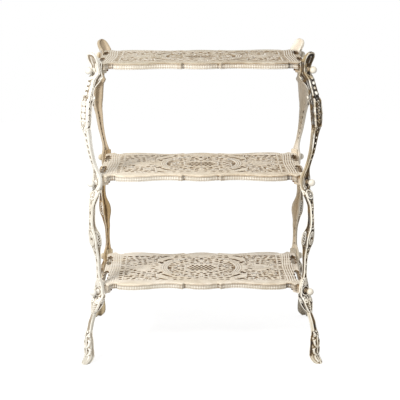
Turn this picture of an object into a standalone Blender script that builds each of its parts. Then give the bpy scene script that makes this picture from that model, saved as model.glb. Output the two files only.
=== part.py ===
"""Three tier plant shelf in painted cast iron, in the rococo revival manner.

Three pierced shelf castings with serpentine front and rear edges hang between four corner
posts. Each post stands at 45 degrees to the shelves and is bolted up from three castings:
an upper post with a leaf finial, a middle post with a knee scroll, and a leg with a leaf foot.
The castings lap behind one another at the middle and bottom shelves, where one ball headed
bolt goes through both, through a lug under the shelf corner, and into a square nut.

Frame: +X to the right, +Y to the back, +Z up, origin on the floor below the centre.
A post is drawn in its corner's own frame: local X runs outward along the diagonal from the
shelf's cut corner, local Y runs across the post, local Z is the height above the floor.
"""
import math

import bmesh
import bpy
from mathutils import Matrix, Vector

# unit
MM = 0.001

# heights
BOTTOM_SHELF_HEIGHT = 230 * MM
TIER_HEIGHT = 328 * MM
FINIAL_RISE = 33 * MM

# shelf casting
SHELF_LENGTH = 606 * MM
SHELF_DEPTH = 400 * MM
SHELF_THICKNESS = 5 * MM
APRON_DEPTH = 19 * MM
APRON_WALL = 4 * MM
CORNER_CUT = 26 * MM
WAVE_DEPTH = 26 * MM
END_WAVE_DEPTH = 3 * MM

# openwork of the shelf
PIN_HOLE_LENGTH = 10 * MM
PIN_HOLE_WIDTH = 8 * MM
LATTICE_PITCH_X = 13.6 * MM
LATTICE_PITCH_Y = 13 * MM
LATTICE_BAR = 5 * MM
SCROLL_SLOT_WIDTH = 7 * MM
FIELD_SINK = 1.2 * MM
FIELD_SLOPE = 2 * MM
END_OPENING_WIDTH = 16 * MM
END_OPENING_LENGTH = 112 * MM
END_OPENING_RIM = 8 * MM

# corner lug under the shelf
LUG_REACH = 9.5 * MM
LUG_TAIL = 19.5 * MM
LUG_WIDTH = 17 * MM
LUG_DROP = 30 * MM

# corner posts
POST_WIDTH = 38 * MM
POST_DEPTH = 14 * MM
PAD_HEIGHT = 24 * MM
PAD_THICKNESS = 8 * MM
TONGUE_THICKNESS = 5.2 * MM
TONGUE_WIDTH = 24 * MM
TONGUE_RISE = 28 * MM
UPPER_SWELL = 44 * MM
MIDDLE_SWELL = 28 * MM
FOOT_SPREAD = 66 * MM
UPPER_SCROLL_DROP = 21.5 * MM
KNEE_SCROLL_DROP = 63 * MM

# fasteners
BOLT_DROP = 18.5 * MM
BALL_RADIUS = 10.5 * MM
BALL_STANDOFF = 19.5 * MM
NECK_RADIUS = 6.5 * MM
SHANK_RADIUS = 4 * MM
BOLT_END = 3 * MM
NUT_WIDTH = 13 * MM
NUT_THICKNESS = 6.5 * MM
SHANK_SIDES = 8
BALL_RINGS = 5

# fit
CLEARANCE = 0.3 * MM
OVERRUN = 20 * MM
WELD_DISTANCE = 0.01 * MM

# distances from the cut corner of the shelf, outward along the diagonal
TONGUE_BACK = LUG_REACH + CLEARANCE
TONGUE_FACE = TONGUE_BACK + TONGUE_THICKNESS
LAP_BACK = TONGUE_FACE + CLEARANCE
SEAT_FACE = LAP_BACK + PAD_THICKNESS
BORE_RADIUS = (SHANK_RADIUS + CLEARANCE) / math.cos(math.pi / SHANK_SIDES)

SHELF_HEIGHTS = {
    "bottom": BOTTOM_SHELF_HEIGHT,
    "middle": BOTTOM_SHELF_HEIGHT + TIER_HEIGHT,
    "top": BOTTOM_SHELF_HEIGHT + 2 * TIER_HEIGHT,
}
BOLT_HEIGHTS = {level: height - BOLT_DROP for level, height in SHELF_HEIGHTS.items()}

# marks the rim of the plate while the apron is drawn down from it
RIM_MARK = 1

# corner name: (side in x, side in y, turn of local X about Z)
CORNERS = {
    "front_left": (-1, -1, math.radians(-135)),
    "front_right": (1, -1, math.radians(-45)),
    "rear_right": (1, 1, math.radians(45)),
    "rear_left": (-1, 1, math.radians(135)),
}

# one quarter of the shelf's outline, from the middle of the long edge to the corner nose:
# shares of the run to the nose, and shares of the wave depth taken back from the full depth
CENTRE_BOW_SHARES = ((0.0, 0.31), (0.0966, 0.46), (0.199, 0.92))
SIDE_SWEEP_SHARES = (
    (0.2294, 0.46),
    (0.2897, 0.82),
    (0.386, 1.0),
    (0.507, 0.88),
    (0.640, 0.48),
    (0.7605, 0.20),
    (0.881, 0.20),
    (1.0, 0.58),
)
# the nose keeps its shape with the cut corner: shares of the corner cut in from the end
NOSE_START_SHARE = 2.0
CORNER_NOSE_SHARES = ((1.888, 0.98), (1.457, 0.84), (1.165, 0.36))
# shares of the length of the end edge from its middle, and of the end wave depth
END_EDGE_SHARES = ((0.70, 0.55), (0.30, 1.0))

# openwork places in one quarter, as shares of half the length and half the depth
END_COLUMN_X_SHARE = 0.812
END_COLUMN_Y_SHARES = (0.0, 0.24, 0.48)
SIDE_FIELD_SHARES = ((0.745, 0.69), (0.665, 0.53), (0.585, 0.69), (0.49, 0.55))
OVAL_RING_SHARES = ((0.29, 0.14), (0.225, 0.33), (0.27, 0.66))
# fields between the raised bands, as shares of half the length and half the depth
OVAL_FIELD_REACH_SHARES = (0.352, 0.545)
OVAL_FIELD_SIDES = 16
SIDE_FIELD_OUTLINE_SHARES = (
    (0.46, 0.30),
    (0.56, 0.15),
    (0.785, 0.15),
    (0.785, 0.745),
    (0.44, 0.745),
)
CENTRE_ARC_SHARES = ((0.065, 0.45),)
# the slanted slot that follows the big oval band
SCROLL_SLOT_START_SHARES = (0.386, 0.40)
SCROLL_SLOT_END_SHARES = (0.304, 0.535)
SLOT_BOW_SHARE = 0.12
SLOT_STEPS = 3
LATTICE_OVAL_X_SHARE = 0.13
LATTICE_OVAL_Y_SHARE = 0.18
END_OPENING_Y_SHARE = 0.46
END_OPENING_LOBE_SHARE = 0.16
END_OPENING_SIDES = 12

# posts: rows of (share of the span from top to bottom, outward share of the swell,
# share of the post's width, share of the post's depth)
FINIAL_SHARES = (
    (0.0, 0.33, 0.34, 0.45),
    (0.14, 0.31, 0.74, 0.66),
    (0.52, 0.20, 1.0, 0.90),
)
UPPER_SHAFT_SHARES = (
    (0.04, 0.33, 0.68, 2.3),
    (0.10, 0.50, 0.67, 1.3),
    (0.16, 0.66, 0.69, 1.04),
    (0.21, 0.80, 0.78, 1.75),
    (0.25, 0.87, 0.85, 1.3),
    (0.31, 0.94, 0.89, 1.14),
    (0.39, 1.0, 0.92, 1.09),
    (0.49, 0.99, 0.76, 1.03),
    (0.54, 0.90, 0.64, 1.0),
    (0.65, 0.72, 0.49, 0.93),
    (0.77, 0.50, 0.40, 0.86),
    (0.87, 0.25, 0.37, 0.74),
    (0.95, 0.04, 0.62, 0.60),
)
UPPER_SCROLL_END_SHARES = ((1.0, 0.10, 0.70, 0.50),)
MIDDLE_SHAFT_SHARES = (
    (0.025, 0.40, 0.87, 0.86),
    (0.085, 0.72, 0.66, 0.98),
    (0.145, 0.87, 0.45, 0.94),
    (0.27, 0.98, 0.37, 1.0),
    (0.37, 0.92, 0.46, 1.21),
    (0.48, 0.74, 0.78, 1.71),
    (0.55, 0.62, 0.72, 1.60),
    (0.61, 0.46, 0.52, 1.12),
    (0.69, 0.20, 0.37, 0.75),
    (0.82, 0.07, 0.27, 0.57),
    (0.93, 0.03, 0.42, 0.57),
)
KNEE_SHARES = (
    (0.20, 0.48, 0.97, 0.64),
    (0.50, 0.66, 0.84, 0.62),
    (0.75, 0.76, 0.62, 0.57),
    (1.0, 0.88, 0.36, 0.50),
)
# shares of the span, of the foot's spread, of the width and of the depth
LEG_SHARES = (
    (0.06, 0.52, 0.50, 0.78),
    (0.15, 0.59, 0.45, 0.72),
    (0.30, 0.68, 0.46, 0.72),
    (0.42, 0.77, 0.56, 0.80),
    (0.55, 0.82, 0.78, 0.88),
    (0.70, 0.80, 0.84, 0.92),
    (0.84, 0.84, 0.86, 1.0),
)
# the toes are solid down to the floor
TOE_SHARES = ((0.95, 0.97, 0.82, 1.25), (1.0, 1.06, 0.62, 1.3))
# the leg's width where it hides behind the knee scroll
BACKING_WIDTH_SHARES = (0.55, 0.48, 0.40, 0.30)

# cross section of a post: a crowned face and a hollow back
SHOULDER_DEPTH_SHARE = 0.34
SHOULDER_WIDTH_SHARE = 0.84
HOLLOW_WIDTH_SHARE = 0.56
HOLLOW_DEPTH_SHARE = 0.52
DEEP_HOLLOW_SHARE = 0.66
# pads at the bolts, as shares of the post's width
TOP_PAD_WIDTH_SHARE = 0.8
LAP_PAD_WIDTH_SHARE = 0.92


def clear_scene():
    """Remove what the file opened with."""
    for item in list(bpy.data.objects):
        bpy.data.objects.remove(item, do_unlink=True)


def make_collection(name):
    collection = bpy.data.collections.new(name)
    bpy.context.scene.collection.children.link(collection)
    return collection


def make_material(name, colour, roughness, metallic):
    material = bpy.data.materials.new(name)
    material.use_nodes = True
    shader = material.node_tree.nodes["Principled BSDF"]
    shader.inputs["Base Color"].default_value = (*colour, 1.0)
    shader.inputs["Roughness"].default_value = roughness
    shader.inputs["Metallic"].default_value = metallic
    return material


def add_object(name, data, collection, material=None):
    item = bpy.data.objects.new(name, data)
    collection.objects.link(item)
    if material is not None:
        item.data.materials.clear()
        item.data.materials.append(material)
    return item


def mesh_from(item):
    """The object's evaluated shape as a welded mesh of its own, then drop the object."""
    bpy.context.view_layer.update()
    graph = bpy.context.evaluated_depsgraph_get()
    mesh = bpy.data.meshes.new_from_object(item.evaluated_get(graph))
    matrix = item.matrix_world.copy()
    bpy.data.objects.remove(item, do_unlink=True)
    shape = bmesh.new()
    shape.from_mesh(mesh)
    bmesh.ops.transform(shape, matrix=matrix, verts=shape.verts)
    bmesh.ops.remove_doubles(shape, verts=shape.verts, dist=WELD_DISTANCE)
    bmesh.ops.recalc_face_normals(shape, faces=shape.faces)
    shape.to_mesh(mesh)
    shape.free()
    return mesh


def combine(base, tool, operation, collection, cutters):
    """Join or cut a mesh with another one."""
    item = add_object("blank", base, collection)
    cutter = add_object("tool", tool, cutters)
    cutter.hide_render = True
    cutter.display_type = "WIRE"
    change = item.modifiers.new("change", "BOOLEAN")
    change.operation = operation
    change.object = cutter
    mesh = mesh_from(item)
    bpy.data.objects.remove(cutter, do_unlink=True)
    return mesh


def bare_mesh(shape, name):
    """Close a bmesh into a mesh of its own."""
    bmesh.ops.recalc_face_normals(shape, faces=shape.faces)
    mesh = bpy.data.meshes.new(name)
    shape.to_mesh(mesh)
    shape.free()
    return mesh


def bore_mesh(radius, length, frames):
    """Cylinders along the local Z of each frame, in one mesh."""
    shape = bmesh.new()
    turn = Matrix.Rotation(math.pi / SHANK_SIDES, 4, "Z")
    for frame in frames:
        bmesh.ops.create_cone(
            shape,
            cap_ends=True,
            segments=SHANK_SIDES,
            radius1=radius,
            radius2=radius,
            depth=length,
            matrix=frame @ turn,
        )
    return bare_mesh(shape, "bores")


def block_mesh(size, frames):
    """Blocks centred on each frame, in one mesh."""
    shape = bmesh.new()
    scale = Matrix.Diagonal((*size, 1.0))
    for frame in frames:
        bmesh.ops.create_cube(shape, size=1.0, matrix=frame @ scale)
    return bare_mesh(shape, "blocks")


def corner_matrix(corner):
    """Local frame of a corner: origin at the middle of the cut corner, X outward."""
    side_x, side_y, turn = CORNERS[corner]
    place = Vector(
        (
            side_x * (SHELF_LENGTH - CORNER_CUT) / 2,
            side_y * (SHELF_DEPTH - CORNER_CUT) / 2,
            0.0,
        )
    )
    return Matrix.Translation(place) @ Matrix.Rotation(turn, 4, "Z")


def bolt_matrix(height, reach=0.0):
    """Frame on a bolt's axis in the corner's frame: local Z runs outward."""
    place = Matrix.Translation(Vector((reach, 0.0, height)))
    return place @ Matrix.Rotation(math.pi / 2, 4, "Y")


def quarter_outline():
    """Shelf outline from the middle of the long edge to the middle of the end."""
    half_length = SHELF_LENGTH / 2
    half_depth = SHELF_DEPTH / 2
    run = half_length - NOSE_START_SHARE * CORNER_CUT
    shares = CENTRE_BOW_SHARES + SIDE_SWEEP_SHARES
    points = [(x * run, half_depth - y * WAVE_DEPTH) for x, y in shares]
    for x, y in CORNER_NOSE_SHARES:
        points.append((half_length - x * CORNER_CUT, half_depth - y * WAVE_DEPTH))
    points.append((half_length - CORNER_CUT, half_depth))
    points.append((half_length, half_depth - CORNER_CUT))
    edge = half_depth - CORNER_CUT
    points += [(half_length - x * END_WAVE_DEPTH, y * edge) for y, x in END_EDGE_SHARES]
    return points


def shelf_outline():
    """The whole outline, counter clockwise, from its quarter."""
    quarter = quarter_outline()
    rear_right = quarter[::-1]
    rear_left = [(-x, y) for x, y in quarter[1:]]
    front_left = [(x, -y) for x, y in rear_left[::-1]]
    front_right = [(x, -y) for x, y in quarter]
    return rear_right + rear_left + front_left + front_right


def inset_outline(points, distance):
    """Move each point of a counter clockwise outline inward along its own normal."""
    moved = []
    count = len(points)
    for index, point in enumerate(points):
        here = Vector(point)
        before = (here - Vector(points[index - 1])).normalized()
        after = (Vector(points[(index + 1) % count]) - here).normalized()
        along = (before + after).normalized()
        inward = Vector((-along.y, along.x))
        stretch = max(inward.dot(Vector((-after.y, after.x))), math.cos(math.pi / 4))
        moved.append(tuple(here + inward * distance / stretch))
    return moved


def four_fold(x, y):
    """The places of one feature in all four quarters, without doubles on the axes."""
    sides_x = (1, -1) if x else (1,)
    sides_y = (1, -1) if y else (1,)
    return [(side_x * x, side_y * y, side_x, side_y) for side_x in sides_x for side_y in sides_y]


def lozenge(x, y, length, width):
    return [(x + width / 2, y), (x, y + length / 2), (x - width / 2, y), (x, y - length / 2)]


def pin_holes():
    """Small pointed holes: the end columns, the side fields, the oval and the centre arcs."""
    half_length = SHELF_LENGTH / 2
    half_depth = SHELF_DEPTH / 2
    shares = [(END_COLUMN_X_SHARE, y_share) for y_share in END_COLUMN_Y_SHARES]
    shares += SIDE_FIELD_SHARES + OVAL_RING_SHARES + CENTRE_ARC_SHARES
    holes = []
    for x_share, y_share in shares:
        for x, y, _, _ in four_fold(x_share * half_length, y_share * half_depth):
            holes.append(lozenge(x, y, PIN_HOLE_LENGTH, PIN_HOLE_WIDTH))
    return holes


def lattice_holes():
    """Staggered rows of lozenges that fill the oval in the middle of the shelf."""
    reach_x = LATTICE_OVAL_X_SHARE * SHELF_LENGTH / 2
    reach_y = LATTICE_OVAL_Y_SHARE * SHELF_DEPTH / 2
    rows = math.floor(reach_y / LATTICE_PITCH_Y)
    columns = math.floor(reach_x / LATTICE_PITCH_X) + 1
    holes = []
    for row in range(-rows, rows + 1):
        stagger = LATTICE_PITCH_X / 2 if row % 2 else 0.0
        for column in range(-columns, columns + 1):
            x = column * LATTICE_PITCH_X + stagger
            y = row * LATTICE_PITCH_Y
            if (x / reach_x) ** 2 + (y / reach_y) ** 2 > 1.0:
                continue
            length = 2 * LATTICE_PITCH_Y - LATTICE_BAR * 2
            width = LATTICE_PITCH_X - LATTICE_BAR
            holes.append(lozenge(x, y, length, width))
    return holes


def scroll_slots():
    """A bowed slot beside each of the four big C scrolls."""
    half = Vector((SHELF_LENGTH / 2, SHELF_DEPTH / 2))
    start = Vector(SCROLL_SLOT_START_SHARES) * half
    end = Vector(SCROLL_SLOT_END_SHARES) * half
    along = end - start
    across = Vector((-along.y, along.x)).normalized()
    slots = []
    for _, _, side_x, side_y in four_fold(1, 1):
        outer = []
        inner = []
        for step in range(SLOT_STEPS + 1):
            share = step / SLOT_STEPS
            bow = math.sin(math.pi * share)
            spine = start + along * share + across * bow * SLOT_BOW_SHARE * along.length
            half_width = SCROLL_SLOT_WIDTH / 2 * max(bow, SLOT_BOW_SHARE)
            outer.append(spine + across * half_width)
            inner.append(spine - across * half_width)
        ring = outer + inner[::-1]
        slots.append([(side_x * point.x, side_y * point.y) for point in ring])
    return slots


def end_openings():
    """Lobed openings inside both ends, a front and a rear one at each."""
    centre_x = SHELF_LENGTH / 2 - END_WAVE_DEPTH - END_OPENING_RIM - END_OPENING_WIDTH / 2
    centre_y = END_OPENING_Y_SHARE * SHELF_DEPTH / 2
    openings = []
    for x, y, side_x, side_y in four_fold(centre_x, centre_y):
        ring = []
        for step in range(END_OPENING_SIDES):
            angle = 2 * math.pi * step / END_OPENING_SIDES
            lobe = 1 + END_OPENING_LOBE_SHARE * math.cos(3 * angle) * math.cos(angle)
            across = END_OPENING_WIDTH / 2 * math.cos(angle) * lobe
            along = END_OPENING_LENGTH / 2 * math.sin(angle)
            ring.append((x + side_x * across, y + side_y * along))
        openings.append(ring)
    return openings


def sunk_fields():
    """Outlines, counter clockwise, of the plate's fields that lie a little below its bands."""
    half_length = SHELF_LENGTH / 2
    half_depth = SHELF_DEPTH / 2
    reach_x, reach_y = OVAL_FIELD_REACH_SHARES
    oval = []
    for step in range(OVAL_FIELD_SIDES):
        angle = 2 * math.pi * step / OVAL_FIELD_SIDES
        oval.append((reach_x * half_length * math.cos(angle), reach_y * half_depth * math.sin(angle)))
    fields = [oval]
    for _, _, side_x, side_y in four_fold(1, 1):
        field = [
            (side_x * x * half_length, side_y * y * half_depth)
            for x, y in SIDE_FIELD_OUTLINE_SHARES
        ]
        fields.append(field if side_x == side_y else field[::-1])
    return fields


def lies_in(outline, hole):
    """Whether a hole's first point lies inside a convex counter clockwise outline."""
    place = Vector(hole[0])
    for index, point in enumerate(outline):
        along = Vector(point) - Vector(outline[index - 1])
        if along.cross(place - Vector(point)) < 0.0:
            return False
    return True


def closed_wire(shape, outline):
    """A closed run of edges in the plane of the shelf's upper face."""
    verts = [shape.verts.new((x, y, 0.0)) for x, y in outline]
    return [shape.edges.new((verts[index - 1], vert)) for index, vert in enumerate(verts)]


def filled(shape, wires):
    """Faces between closed wires, the outer one first."""
    edges = [edge for wire in wires for edge in wire]
    made = bmesh.ops.triangle_fill(shape, use_beauty=True, edges=edges)["geom"]
    return [item for item in made if isinstance(item, bmesh.types.BMFace)]


def pulled_down(shape, faces, distance):
    """Extrude a patch of faces downward and return its new lower faces."""
    made = bmesh.ops.extrude_face_region(shape, geom=faces)["geom"]
    verts = [item for item in made if isinstance(item, bmesh.types.BMVert)]
    bmesh.ops.translate(shape, vec=(0.0, 0.0, -distance), verts=verts)
    return [item for item in made if isinstance(item, bmesh.types.BMFace)]


def pierced_plate():
    """The openwork plate, with its rim carried on down as the apron."""
    outline = shelf_outline()
    holes = pin_holes() + lattice_holes() + scroll_slots() + end_openings()
    shape = bmesh.new()
    edge = closed_wire(shape, outline)
    apron_inside = closed_wire(shape, inset_outline(outline, APRON_WALL))
    rim = filled(shape, [edge, apron_inside])
    bounds = [apron_inside]
    field = []
    sunk = []
    for crest in sunk_fields():
        foot = inset_outline(crest, FIELD_SLOPE)
        within = [hole for hole in holes if lies_in(foot, hole)]
        holes = [hole for hole in holes if hole not in within]
        crest_wire = closed_wire(shape, crest)
        foot_wire = closed_wire(shape, foot)
        bounds.append(crest_wire)
        field += filled(shape, [crest_wire, foot_wire])
        floor = filled(shape, [foot_wire] + [closed_wire(shape, hole) for hole in within])
        field += floor
        sunk += list({vert for face in floor for vert in face.verts})
    field += filled(shape, bounds + [closed_wire(shape, hole) for hole in holes])
    for face in rim:
        face.material_index = RIM_MARK
    lower = pulled_down(shape, rim + field, SHELF_THICKNESS)
    bmesh.ops.translate(shape, vec=(0.0, 0.0, -FIELD_SINK), verts=sunk)
    lower_rim = [face for face in lower if face.material_index == RIM_MARK]
    pulled_down(shape, lower_rim, APRON_DEPTH - SHELF_THICKNESS)
    bmesh.ops.delete(shape, geom=lower_rim, context="FACES")
    for face in shape.faces:
        face.material_index = 0
    return bare_mesh(shape, "plate")


def shelf_mesh(collection, cutters):
    """Pierced plate and apron, with a drilled lug under each corner."""
    lug_top = -SHELF_THICKNESS / 2
    lug_height = LUG_DROP + lug_top
    lug_size = (LUG_REACH + LUG_TAIL, LUG_WIDTH, lug_height)
    lug_middle = Vector(((LUG_REACH - LUG_TAIL) / 2, 0.0, lug_top - lug_height / 2))
    frames = [corner_matrix(corner) for corner in CORNERS]
    lugs = block_mesh(lug_size, [frame @ Matrix.Translation(lug_middle) for frame in frames])
    drilling = bolt_matrix(-BOLT_DROP, lug_middle.x)
    bores = bore_mesh(BORE_RADIUS, lug_size[0] + OVERRUN, [frame @ drilling for frame in frames])
    joined = combine(pierced_plate(), lugs, "UNION", collection, cutters)
    return combine(joined, bores, "DIFFERENCE", collection, cutters)


def post_section(face, width, depth, crown, hollow):
    """Closed section of a post: its face is outward and its back has a channel."""
    back = face - depth
    half = width / 2
    shoulder = face - crown * depth
    channel = HOLLOW_WIDTH_SHARE * half
    floor = back + hollow * depth
    return (
        (back, half),
        (shoulder, SHOULDER_WIDTH_SHARE * half),
        (face, 0.0),
        (shoulder, -SHOULDER_WIDTH_SHARE * half),
        (back, -half),
        (back, -channel),
        (floor, 0.0),
        (back, channel),
    )


def pad_rows(height, face, back, width):
    """Two rows that make the flat, solid pad which a bolt goes through."""
    rows = []
    for side in (1, -1):
        rows.append((height + side * PAD_HEIGHT / 2, face, width, face - back, 0.0, 0.0))
    return rows


def span_rows(top, bottom, shares, start, swell, hollow=HOLLOW_DEPTH_SHARE):
    """Rows between two heights from a table of shares."""
    rows = []
    for span_share, swell_share, width_share, depth_share in shares:
        rows.append(
            (
                top + (bottom - top) * span_share,
                start + swell * swell_share,
                POST_WIDTH * width_share,
                POST_DEPTH * depth_share,
                SHOULDER_DEPTH_SHARE,
                hollow,
            )
        )
    return rows


def loft(rows):
    """Closed solid through horizontal sections, from the top row to the bottom row."""
    shape = bmesh.new()
    rings = []
    for height, face, width, depth, crown, hollow in rows:
        section = post_section(face, width, depth, crown, hollow)
        rings.append([shape.verts.new((x, y, height)) for x, y in section])
    count = len(rings[0])
    for upper, lower in zip(rings, rings[1:]):
        for index in range(count):
            following = (index + 1) % count
            shape.faces.new((upper[index], upper[following], lower[following], lower[index]))
    shape.faces.new(rings[0])
    shape.faces.new(rings[-1][::-1])
    return bare_mesh(shape, "post")


def drilled(mesh, heights, collection, cutters):
    """Cut the bolt bores through a post casting."""
    frames = [bolt_matrix(height, SEAT_FACE / 2) for height in heights]
    bores = bore_mesh(BORE_RADIUS, SEAT_FACE + OVERRUN, frames)
    return combine(mesh, bores, "DIFFERENCE", collection, cutters)


def upper_post_rows():
    top_bolt = BOLT_HEIGHTS["top"]
    middle_bolt = BOLT_HEIGHTS["middle"]
    tip = SHELF_HEIGHTS["top"] + FINIAL_RISE
    pad = PAD_HEIGHT / 2
    rows = span_rows(tip, top_bolt + pad, FINIAL_SHARES, SEAT_FACE, UPPER_SWELL)
    rows += pad_rows(top_bolt, SEAT_FACE, TONGUE_BACK, TOP_PAD_WIDTH_SHARE * POST_WIDTH)
    shaft_top = top_bolt - pad
    shaft_end = middle_bolt + pad
    rows += span_rows(
        shaft_top, shaft_end, UPPER_SHAFT_SHARES, SEAT_FACE, UPPER_SWELL, DEEP_HOLLOW_SHARE
    )
    rows += pad_rows(middle_bolt, SEAT_FACE, LAP_BACK, LAP_PAD_WIDTH_SHARE * POST_WIDTH)
    end = middle_bolt - UPPER_SCROLL_DROP
    rows += span_rows(middle_bolt - pad, end, UPPER_SCROLL_END_SHARES, SEAT_FACE, UPPER_SWELL)
    return rows


def tongue_rows(bolt_height):
    """Flat tongue of a lower casting, behind the casting above."""
    rows = []
    for height in (bolt_height + TONGUE_RISE, bolt_height - PAD_HEIGHT / 2):
        rows.append((height, TONGUE_FACE, TONGUE_WIDTH, TONGUE_THICKNESS, 0.0, 0.0))
    return rows


def middle_post_rows():
    middle_bolt = BOLT_HEIGHTS["middle"]
    bottom_bolt = BOLT_HEIGHTS["bottom"]
    pad = PAD_HEIGHT / 2
    shoulder = middle_bolt - UPPER_SCROLL_DROP - CLEARANCE
    rows = tongue_rows(middle_bolt)
    rows.append((shoulder, TONGUE_FACE, TONGUE_WIDTH, TONGUE_THICKNESS, 0.0, 0.0))
    shaft_end = bottom_bolt + pad
    rows += span_rows(
        shoulder, shaft_end, MIDDLE_SHAFT_SHARES, SEAT_FACE, MIDDLE_SWELL, DEEP_HOLLOW_SHARE
    )
    rows += pad_rows(bottom_bolt, SEAT_FACE, LAP_BACK, LAP_PAD_WIDTH_SHARE * POST_WIDTH)
    end = bottom_bolt - KNEE_SCROLL_DROP
    rows += span_rows(bottom_bolt - pad, end, KNEE_SHARES, SEAT_FACE, MIDDLE_SWELL)
    return rows


def leg_rows():
    bottom_bolt = BOLT_HEIGHTS["bottom"]
    pad = PAD_HEIGHT / 2
    knee_top = bottom_bolt - pad
    knee_end = bottom_bolt - KNEE_SCROLL_DROP
    rows = tongue_rows(bottom_bolt)
    knee = span_rows(knee_top, knee_end, KNEE_SHARES, SEAT_FACE, MIDDLE_SWELL)
    for knee_row, width_share in zip(knee, BACKING_WIDTH_SHARES):
        height, face, _, depth, _, _ = knee_row
        behind = face - depth - 2 * CLEARANCE
        width = width_share * POST_WIDTH
        rows.append((height, behind, width, TONGUE_THICKNESS, SHOULDER_DEPTH_SHARE, 0.0))
    shaft_top = knee_end - CLEARANCE
    rows += span_rows(shaft_top, 0.0, LEG_SHARES, SEAT_FACE, FOOT_SPREAD)
    rows += span_rows(shaft_top, 0.0, TOE_SHARES, SEAT_FACE, FOOT_SPREAD, 0.0)
    return rows


def ball_bolt_mesh(collection):
    """Turned ball headed bolt, its seat at local Z zero and the ball on +Z."""
    points = []
    neck_angle = math.asin(NECK_RADIUS / BALL_RADIUS)
    for step in range(BALL_RINGS + 1):
        angle = (math.pi - neck_angle) * step / BALL_RINGS
        radius = BALL_RADIUS * math.sin(angle)
        points.append((radius, BALL_STANDOFF + BALL_RADIUS * math.cos(angle)))
    end = -(SEAT_FACE + LUG_TAIL + CLEARANCE + NUT_THICKNESS + BOLT_END)
    points += [(NECK_RADIUS, CLEARANCE), (SHANK_RADIUS, CLEARANCE)]
    points += [(SHANK_RADIUS, end), (0.0, end)]

    profile = bpy.data.meshes.new("bolt_profile")
    profile.from_pydata(
        [(x, 0.0, z) for x, z in points],
        [(index, index + 1) for index in range(len(points) - 1)],
        [],
    )
    item = add_object("bolt", profile, collection)
    turn = item.modifiers.new("turn", "SCREW")
    turn.axis = "Z"
    turn.angle = 2 * math.pi
    turn.steps = SHANK_SIDES
    turn.render_steps = SHANK_SIDES
    turn.use_merge_vertices = True
    turn.merge_threshold = WELD_DISTANCE
    return mesh_from(item)


def nut_mesh(collection, cutters):
    """Square nut, centred on its own bore."""
    centre = Matrix.Identity(4)
    block = block_mesh((NUT_WIDTH, NUT_WIDTH, NUT_THICKNESS), [centre])
    bore = bore_mesh(BORE_RADIUS, NUT_THICKNESS + OVERRUN, [centre])
    return combine(block, bore, "DIFFERENCE", collection, cutters)


def build():
    clear_scene()
    parts = make_collection("plant_shelf")
    cutters = make_collection("plant_shelf_cutters")
    cream_paint = (0.68, 0.62, 0.50)
    bolt_paint = (0.72, 0.67, 0.56)
    rusty_iron = (0.16, 0.10, 0.06)

    shelf = shelf_mesh(parts, cutters)
    for level, height in SHELF_HEIGHTS.items():
        name = f"shelf_{level}"
        material = make_material(f"{name}_paint", cream_paint, 0.6, 0.0)
        item = add_object(name, shelf.copy(), parts, material)
        item.location.z = height

    castings = {
        "upper_post": drilled(
            loft(upper_post_rows()),
            (BOLT_HEIGHTS["top"], BOLT_HEIGHTS["middle"]),
            parts,
            cutters,
        ),
        "middle_post": drilled(
            loft(middle_post_rows()),
            (BOLT_HEIGHTS["middle"], BOLT_HEIGHTS["bottom"]),
            parts,
            cutters,
        ),
        "leg": drilled(loft(leg_rows()), (BOLT_HEIGHTS["bottom"],), parts, cutters),
    }
    for casting, mesh in castings.items():
        for corner in CORNERS:
            name = f"{casting}_{corner}"
            material = make_material(f"{name}_paint", cream_paint, 0.55, 0.0)
            item = add_object(name, mesh.copy(), parts, material)
            item.matrix_world = corner_matrix(corner)

    bolt = ball_bolt_mesh(parts)
    nut = nut_mesh(parts, cutters)
    nut_reach = -(LUG_TAIL + CLEARANCE + NUT_THICKNESS / 2)
    fasteners = (
        ("ball_bolt", bolt, SEAT_FACE, bolt_paint, 0.5, 0.0),
        ("square_nut", nut, nut_reach, rusty_iron, 0.7, 0.6),
    )
    for kind, mesh, reach, colour, roughness, metallic in fasteners:
        for level, height in BOLT_HEIGHTS.items():
            for corner in CORNERS:
                name = f"{kind}_{level}_{corner}"
                material = make_material(f"{name}_surface", colour, roughness, metallic)
                item = add_object(name, mesh.copy(), parts, material)
                item.matrix_world = corner_matrix(corner) @ bolt_matrix(height, reach)


build()
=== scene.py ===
# %% [markdown]
# # A cast iron plant shelf, dressed for its portrait
#
# The imported model gives the stand's plain solids: three shelf castings, twelve post castings,
# twelve ball headed bolts and their square nuts. This lesson gives each of them the surface of
# the real thing, which is old cream oil paint on sand cast iron: pierced shelves with carved
# scrolls, fluted aprons, leafy posts with beads and volutes, and dark grime in every hollow.
#
# First the frame is loaded.

import math

import bmesh
import bpy
import numpy as np
from mathutils import Matrix, Vector


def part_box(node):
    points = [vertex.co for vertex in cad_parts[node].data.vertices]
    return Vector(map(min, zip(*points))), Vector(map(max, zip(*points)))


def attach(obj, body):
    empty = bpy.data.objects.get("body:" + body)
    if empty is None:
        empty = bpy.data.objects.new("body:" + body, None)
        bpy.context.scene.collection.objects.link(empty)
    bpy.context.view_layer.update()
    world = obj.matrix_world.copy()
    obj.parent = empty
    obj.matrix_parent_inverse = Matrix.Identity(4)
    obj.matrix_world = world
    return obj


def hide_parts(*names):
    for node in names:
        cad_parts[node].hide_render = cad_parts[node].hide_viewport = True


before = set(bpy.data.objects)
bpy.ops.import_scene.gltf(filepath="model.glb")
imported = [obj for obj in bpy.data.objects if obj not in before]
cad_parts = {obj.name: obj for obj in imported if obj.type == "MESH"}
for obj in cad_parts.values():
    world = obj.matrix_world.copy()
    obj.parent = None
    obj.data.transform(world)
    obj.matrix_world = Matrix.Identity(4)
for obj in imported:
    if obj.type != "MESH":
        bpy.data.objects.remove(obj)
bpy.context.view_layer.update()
MM = 0.001
print("nodes in the frame:", len(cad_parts))

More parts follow.
